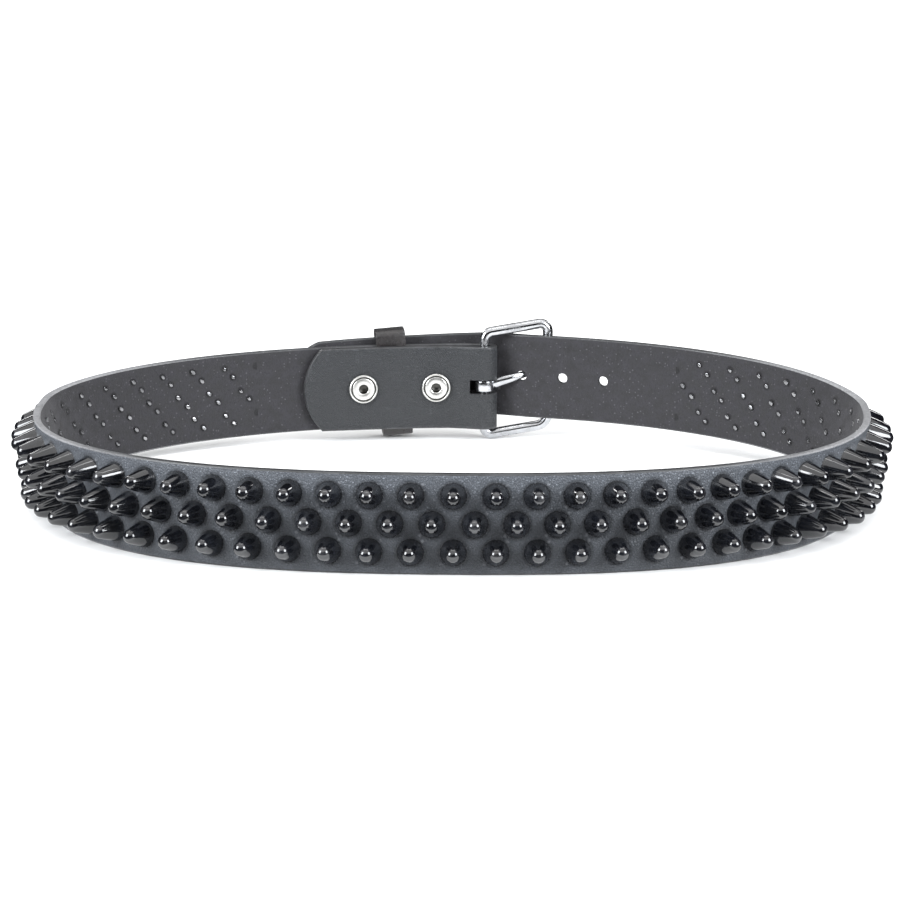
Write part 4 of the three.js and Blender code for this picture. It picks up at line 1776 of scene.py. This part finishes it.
@dataclass
class Buckle:
    """The wire frame and the tongue."""

    line: BeltLine
    wire_radius: float = 2.3
    outer_reach: float = 38.8
    clearance: float = 0.6
    top: float = 51.7
    rise: float = 4.3
    rise_bend: float = 1.4
    heel_corner: float = 3.5
    outer_corner: float = 4.5
    corner_steps: int = 10
    sides: int = 20
    eye_clearance: float = 0.35
    eye_thickness: float = 1.7
    eye_width: float = 5.2
    eye_height: float = 24.9
    eye_steps: int = 32
    shaft_steps: int = 28
    shaft: ReachTable = ReachTable((
        (13.9, -2.9, 25.6, 2.1, 1.1), (19, -2.4, 27.0, 2.1, 1.3), (23.5, -1.1, 28.2, 1.9, 1.3),
        (27.7, 1.4, 29.3, 1.6, 1.2), (31.5, 4.6, 30.2, 1.5, 1.2), (36, 8.3, 31.1, 1.5, 1.2),
        (41, 8.7, 32.0, 1.5, 1.2), (45.5, 8.3, 32.8, 1.2, 0.9),
    ))
    finish: MetalFinish = MetalFinish()

    def heel(self) -> Vector:
        """Return the middle of the bar, seen from above."""
        return self.line.rear_frame(self.line.heel_reach, self.line.heel_offset)[0]

    def build_frame(self, metal: bpy.types.Material) -> bpy.types.Object:
        """Return the wire frame.

        Args:
            metal: Finish of the buckle.

        Returns:
            The finished piece.
        """
        line = self.line
        offset = line.tail.value(self.outer_reach) + line.thickness / 2
        offset += self.clearance + self.wire_radius
        heel, outer = self.heel(), line.rear_frame(self.outer_reach, offset)[0]
        along = (outer - heel).normalized()
        reach = (outer - heel).length
        low, high = self.wire_radius, self.top - self.wire_radius
        corners = (
            (0.0, low, self.heel_corner, math.pi), (reach, low, self.outer_corner, 1.5 * math.pi),
            (reach, high, self.outer_corner, 0.0), (0.0, high, self.heel_corner, 0.5 * math.pi),
        )
        side = along.cross(UP)
        rings = []
        for x, z, radius, start in corners:
            middle_x = radius if x == 0 else x - radius
            middle_z = z + radius if z == low else z - radius
            centre = heel + along * middle_x + UP * middle_z
            for i in range(self.corner_steps + 1):
                angle = start + math.pi / 2 * i / self.corner_steps
                away = along * math.cos(angle) + UP * math.sin(angle)
                share = max(0.0, (middle_x + radius * math.cos(angle)) / reach)
                point = centre + away * radius + UP * (self.rise * share ** self.rise_bend)
                wire = self.wire_radius
                rings.append(ring_at(point, away, side, wire, wire, self.sides))
        piece = add_object("buckle_wire", Skin(rings, closed=True).build("buckle_wire"))
        piece.data.materials.append(metal)
        return seat_piece(piece, "buckle_frame")

    def shaft_at(self, reach: float) -> Vector:
        """Return the middle of the tongue at a reach."""
        point = self.line.rear_frame(reach, self.shaft.value(reach, 1))[0]
        return point + UP * self.shaft.value(reach, 2)

    def build_tongue(self, metal: bpy.types.Material) -> bpy.types.Object:
        """Return the tongue: an eye round the bar and a curved shaft with a round end.

        Args:
            metal: Finish of the buckle.

        Returns:
            The finished piece.
        """
        first, last = self.shaft.rows[0][0], self.shaft.rows[-1][0]
        steps = self.shaft_steps
        sections = [(first + (last - first) * i / steps, 1.0) for i in range(steps)]
        sections += [(last - 0.5, 0.97), (last - 0.2, 0.8), (last, 0.5)]
        rings = []
        for reach, size in sections:
            tangent = (self.shaft_at(reach + 0.5) - self.shaft_at(reach - 0.5)).normalized()
            across = tangent.cross(UP).normalized()
            up = across.cross(tangent)
            wide, thick = (self.shaft.value(reach, column) * size for column in (3, 4))
            rings.append(ring_at(self.shaft_at(reach), across, up, thick, wide, self.sides))
        shaft = Skin(rings).build("shaft")
        _, outward, along = self.line.rear_frame(self.line.heel_reach, 0.0)
        middle = self.wire_radius + self.eye_clearance + self.eye_thickness / 2
        section = rounded_section(self.eye_thickness / 2, self.eye_width / 2, 0.5, 3)
        rings = []
        for i in range(self.eye_steps):
            angle = 2 * math.pi * i / self.eye_steps
            away = along * math.cos(angle) + outward * math.sin(angle)
            centre = self.heel() + UP * self.eye_height
            rings.append([centre + away * (middle + deep) + UP * wide for deep, wide in section])
        eye = Skin(rings, closed=True).build("eye")
        piece = add_object("buckle_prong", join_meshes("buckle_prong", [eye, shaft]))
        piece.data.materials.append(metal)
        return seat_piece(piece, "buckle_tongue")

    def build(self) -> list[bpy.types.Object]:
        """Return the frame and the tongue."""
        metal = self.finish.material()
        return [self.build_frame(metal), self.build_tongue(metal)]


@dataclass
class Keeper:
    """The narrow leather loop that holds the tail."""

    line: BeltLine
    reach: float = -30.8
    width: float = 13.5
    thickness: float = 1.6
    clearance: float = 0.65
    bottom: float = 1.4
    top: float = 50.2
    skew: float = -0.075
    corner: float = 1.6
    corner_steps: int = 8
    finish: GrainFinish = GrainFinish(
        name="keeper_leather", where=Coordinates.OBJECT, studded=False, cell=0.6, depth=0.05,
        dark=grey(0.014, 0.0125, 0.013), light=grey(0.036, 0.031, 0.031),
        fleck=grey(0.1, 0.1, 0.11),
        smooth=0.24, rough=0.38, coat=0.35,
    )

    def build(self) -> bpy.types.Object:
        """Return the finished keeper.

        Returns:
            The piece, tied to the frame.
        """
        line = self.line
        thick = line.thickness / 2
        inner = line.outer_layer.value(self.reach) - thick - self.clearance - self.thickness
        outer = line.tail.value(self.reach) + thick + self.clearance + self.thickness
        point, outward, along = line.rear_frame(self.reach, (inner + outer) / 2)
        middle = point + UP * ((self.bottom + self.top) / 2)
        turn = Matrix.Rotation(self.skew, 3, outward)
        leaning, up = turn @ along, turn @ UP
        half_deep, half_tall = (outer - inner) / 2, (self.top - self.bottom) / 2
        section = rounded_section(self.thickness / 2, self.width / 2, 0.45, 3)
        rings = []
        for quarter in range(4):
            deep_sign = 1 if quarter in (0, 3) else -1
            tall_sign = 1 if quarter < 2 else -1
            centre = (
                middle + outward * (deep_sign * (half_deep - self.thickness - self.corner))
                + up * (tall_sign * (half_tall - self.thickness - self.corner))
            )
            for i in range(self.corner_steps + 1):
                angle = math.pi / 2 * (quarter + i / self.corner_steps)
                away = outward * math.cos(angle) + up * math.sin(angle)
                base = centre + away * (self.corner + self.thickness / 2)
                rings.append([base + away * deep + leaning * wide for deep, wide in section])
        piece = add_object("keeper_band", Skin(rings, closed=True).build("keeper_band"))
        piece.data.materials.append(self.finish.material())
        return seat_piece(piece, "keeper_loop")


@dataclass
class Snaps:
    """Two ring snaps that hold the flap."""

    line: BeltLine
    reaches: tuple[tuple[str, float], ...] = (("left", -45.6), ("right", -11.5))
    height: float = 24.4
    gap: float = 0.3
    ring_radius: float = 6.55
    ring_thickness: float = 1.3
    recess_radius: float = 2.1
    recess_depth: float = 2.8
    post_radius: float = 3.2
    cap_radius: float = 6.0
    cap_thickness: float = 1.2
    groove: tuple[float, float] = (5.0, 5.7)
    sides: int = 48
    finish: MetalFinish = MetalFinish(
        "snap_metal", grey(0.8, 0.795, 0.77), grey(0.6, 0.595, 0.57), 0.26, 0.36, 0.2,
    )
    recess_shade: MetalFinish = MetalFinish(
        "snap_recess_shade", grey(0.09, 0.088, 0.082), grey(0.015, 0.015, 0.014), 0.3, 0.5, 0.2,
    )

    def profile(self, reach: float) -> list[tuple[float, float]]:
        """Return the outline from the eye of the ring to the cap behind.

        Args:
            reach: Place of the snap along the rear.

        Returns:
            Pairs of the radius and the way out from the flap.
        """
        thick = self.line.thickness / 2
        inner = self.line.flap.value(reach) - thick
        outer = self.line.outer_layer.value(reach) + thick
        face = -self.gap - self.ring_thickness
        back = outer - inner + self.gap
        hole, ring, cap = self.recess_radius, self.ring_radius, self.cap_radius
        return [
            (0, face + self.recess_depth), (hole - 0.25, face + self.recess_depth),
            (hole, face + 2.5),
            (hole, face + 0.45), (hole + 0.12, face + 0.15), (hole + 0.45, face),
            (4.75, face + 0.02), (4.98, face + 0.12), (5.1, face + 0.36), (5.35, face + 0.42),
            (5.62, face + 0.34), (5.74, face + 0.1), (5.95, face), (6.2, face + 0.06),
            (ring - 0.1, face + 0.3), (ring, face + 0.6), (ring - 0.05, -self.gap - 0.15),
            (ring - 0.25, -self.gap), (self.post_radius, -self.gap), (self.post_radius, back),
            (cap - 0.2, back), (cap, back + 0.2), (cap - 0.08, back + 0.55),
            (cap - 0.5, back + 0.95), (cap - 1.3, back + self.cap_thickness),
            (0, back + self.cap_thickness),
        ]

    def shade(self, mesh: bpy.types.Mesh, centre: Vector, outward: Vector) -> None:
        """Give a dark copy of the metal, as painted shade, to the recess and the groove of the
        ring.

        Args:
            mesh: Mesh of one snap.
            centre: Origin of its profile.
            outward: Its axis.
        """
        near, far = self.groove
        bottom = -self.gap - self.ring_thickness + 0.5
        for polygon in mesh.polygons:
            way = polygon.center / MM - centre
            deep = way.dot(outward)
            radius = (way - outward * deep).length
            # Painted shade: faces in the recess and in the groove get the dark copy of the metal.
            recess_shade = radius < self.recess_radius and deep < self.recess_depth
            polygon.material_index = int(recess_shade or (near < radius < far and deep < bottom))

    def build(self) -> list[bpy.types.Object]:
        """Return both snaps.

        Returns:
            The pieces, tied to the frame.
        """
        metal, shaded = self.finish.material(), self.recess_shade.material()
        pieces = []
        for side, reach in self.reaches:
            inner = self.line.flap.value(reach) - self.line.thickness / 2
            point, outward, along = self.line.rear_frame(reach, inner)
            centre = point + UP * self.height
            skin = lathe(self.profile(reach), centre, outward, along, self.sides)
            piece = add_object(f"snap_{side}_cap", skin.build(f"snap_{side}_cap", 55.0))
            piece.data.materials.append(metal)
            piece.data.materials.append(shaded)
            self.shade(piece.data, centre, outward)
            pieces.append(seat_piece(piece, f"snap_{side}"))
        return pieces


# Studio


@dataclass(frozen=True)
class Lamp:
    """A soft rectangular lamp that looks at the belt."""

    name: str
    place: tuple[float, float, float]
    size: tuple[float, float]
    power: float
    colour: tuple[float, float, float] = (1.0, 1.0, 1.0)

    def build(self, target: Vector) -> None:
        """Add the lamp, turned to the target.

        Args:
            target: Point that it looks at.
        """
        data = bpy.data.lights.new(self.name, "AREA")
        data.shape = "RECTANGLE"
        data.size, data.size_y = self.size
        data.energy = self.power
        data.color = self.colour
        lamp = bpy.data.objects.new(self.name, data)
        bpy.context.scene.collection.objects.link(lamp)
        lamp.location = self.place
        lamp.rotation_euler = (target - lamp.location).to_track_quat("-Z", "Y").to_euler()


@dataclass
class Studio:
    """Pale floor, soft lights and the camera."""

    camera_place: tuple[float, float, float] = (0.0471, -1.2012, 0.2916)
    camera_down: float = 0.2055
    camera_turn: float = 0.0394
    lens: float = 118.46
    shift: float = -0.0514
    floor_half: float = 9.0
    sun_power: float = 2.2
    world_seen: float = 1.2
    world_soft: float = 0.55
    world_gloss: float = 0.012
    dark_oval: tuple[float, float] = (0.19, 0.145)
    floor_pale: Colour = grey(0.93, 0.93, 0.93)
    floor_dark: Colour = grey(0.03, 0.03, 0.03)
    lamps: tuple[Lamp, ...] = (
        Lamp("left_box", (-0.98, -0.72, 0.5), (0.62, 0.72), 17.0, (0.94, 0.97, 1.0)),
        Lamp("right_box", (0.98, -0.72, 0.5), (0.62, 0.72), 17.0, (0.94, 0.97, 1.0)),
        Lamp("rear_left", (-0.9, 1.0, 0.75), (0.14, 0.6), 2.6),
        Lamp("rear_right", (0.9, 1.0, 0.75), (0.14, 0.6), 2.6),
        Lamp("high_strip", (0.0, -0.1, 1.5), (1.3, 0.1), 2.2),
    )

    def build_floor(self) -> None:
        """Lay the floor."""
        half = self.floor_half
        mesh = bpy.data.meshes.new("floor")
        corners = [(-half, -half, 0), (half, -half, 0), (half, half, 0), (-half, half, 0)]
        mesh.from_pydata(corners, [], [(0, 1, 2, 3)])
        surface = Surface("pale_floor", Roughness=0.8, Specular_IOR_Level=0.0)
        graph = surface.graph
        across, deep = self.dark_oval
        place = surface.coordinates(Coordinates.OBJECT)
        place = graph.stretched(place, (1 / across, 1 / deep, 0.0))
        far = graph.add("ShaderNodeVectorMath", {0: place}, operation="LENGTH").outputs["Value"]
        # Painted reflection: beyond an oval round the belt the floor turns dark to glossy rays
        # only, while the camera and diffuse light see it white.
        gloss = graph.add("ShaderNodeLightPath").outputs["Is Glossy Ray"]
        away = graph.times(gloss, graph.ramp(far, 1.0, 1.12))
        colour = graph.blend(away, self.floor_pale, self.floor_dark)
        graph.feed(surface.shader.inputs["Base Color"], colour)
        mesh.materials.append(surface.material)
        add_object("floor", mesh)

    def build_world(self) -> None:
        """Surround the scene with white that gloss sees dark, as in a studio hung with black."""
        world = bpy.data.worlds.new("studio")
        world.use_nodes = True
        bpy.context.scene.world = world
        graph = Graph(world.node_tree)
        background = world.node_tree.nodes["Background"]
        path = graph.add("ShaderNodeLightPath").outputs
        lift = graph.times(path["Is Camera Ray"], self.world_seen - self.world_soft)
        soft = graph.plus(lift, self.world_soft)
        drop = graph.times(path["Is Glossy Ray"], self.world_soft - self.world_gloss)
        graph.feed(background.inputs["Strength"], graph.minus(soft, drop))
        background.inputs["Color"].default_value = grey(0.98, 0.99, 1.0)

    def build_lights(self) -> None:
        """Hang the lamps and a broad soft sun."""
        target = Vector((0.0, -0.03, 0.02))
        for lamp in self.lamps:
            lamp.build(target)
        data = bpy.data.lights.new("soft_sun", "SUN")
        data.energy = self.sun_power
        data.angle = math.radians(100)
        sun = bpy.data.objects.new("soft_sun", data)
        sun.rotation_euler = (math.radians(12), math.radians(-6), 0.0)
        bpy.context.scene.collection.objects.link(sun)

    def build_camera(self) -> None:
        """Set the camera where the picture was taken from."""
        data = bpy.data.cameras.new("camera")
        data.sensor_fit = "HORIZONTAL"
        data.sensor_width = 36.0
        data.lens = self.lens
        data.shift_y = self.shift
        data.clip_start, data.clip_end = 0.05, 60.0
        camera = bpy.data.objects.new("camera", data)
        camera.location = self.camera_place
        camera.rotation_euler = (math.pi / 2 - self.camera_down, 0.0, self.camera_turn)
        bpy.context.scene.collection.objects.link(camera)
        bpy.context.scene.camera = camera

    def build(self) -> None:
        """Set up the whole studio."""
        self.build_floor()
        self.build_world()
        self.build_lights()
        self.build_camera()
        bpy.context.scene.view_settings.view_transform = "Standard"
        LOG.info("studio: floor, %d lamps and camera", len(self.lamps) + 1)


def main() -> None:
    """Build the belt piece by piece, then the studio."""
    logging.basicConfig(level=logging.INFO, format="%(message)s")
    line = BeltLine()
    LOG.info("oval: %.1f mm round", line.oval.length)
    tree = RepeatTree("set_on_points")
    strap = LeatherStrap(line, STUDS).build()
    studs = StudField(line, STUDS, tree)
    pieces = [strap, studs.build(), ProngField(studs, tree).build()]
    pieces += Buckle(line).build()
    pieces.append(Keeper(line).build())
    pieces += Snaps(line).build()
    Studio().build()
    LOG.info("belt: %d pieces", len(pieces))


if __name__ == "__main__":
    main()
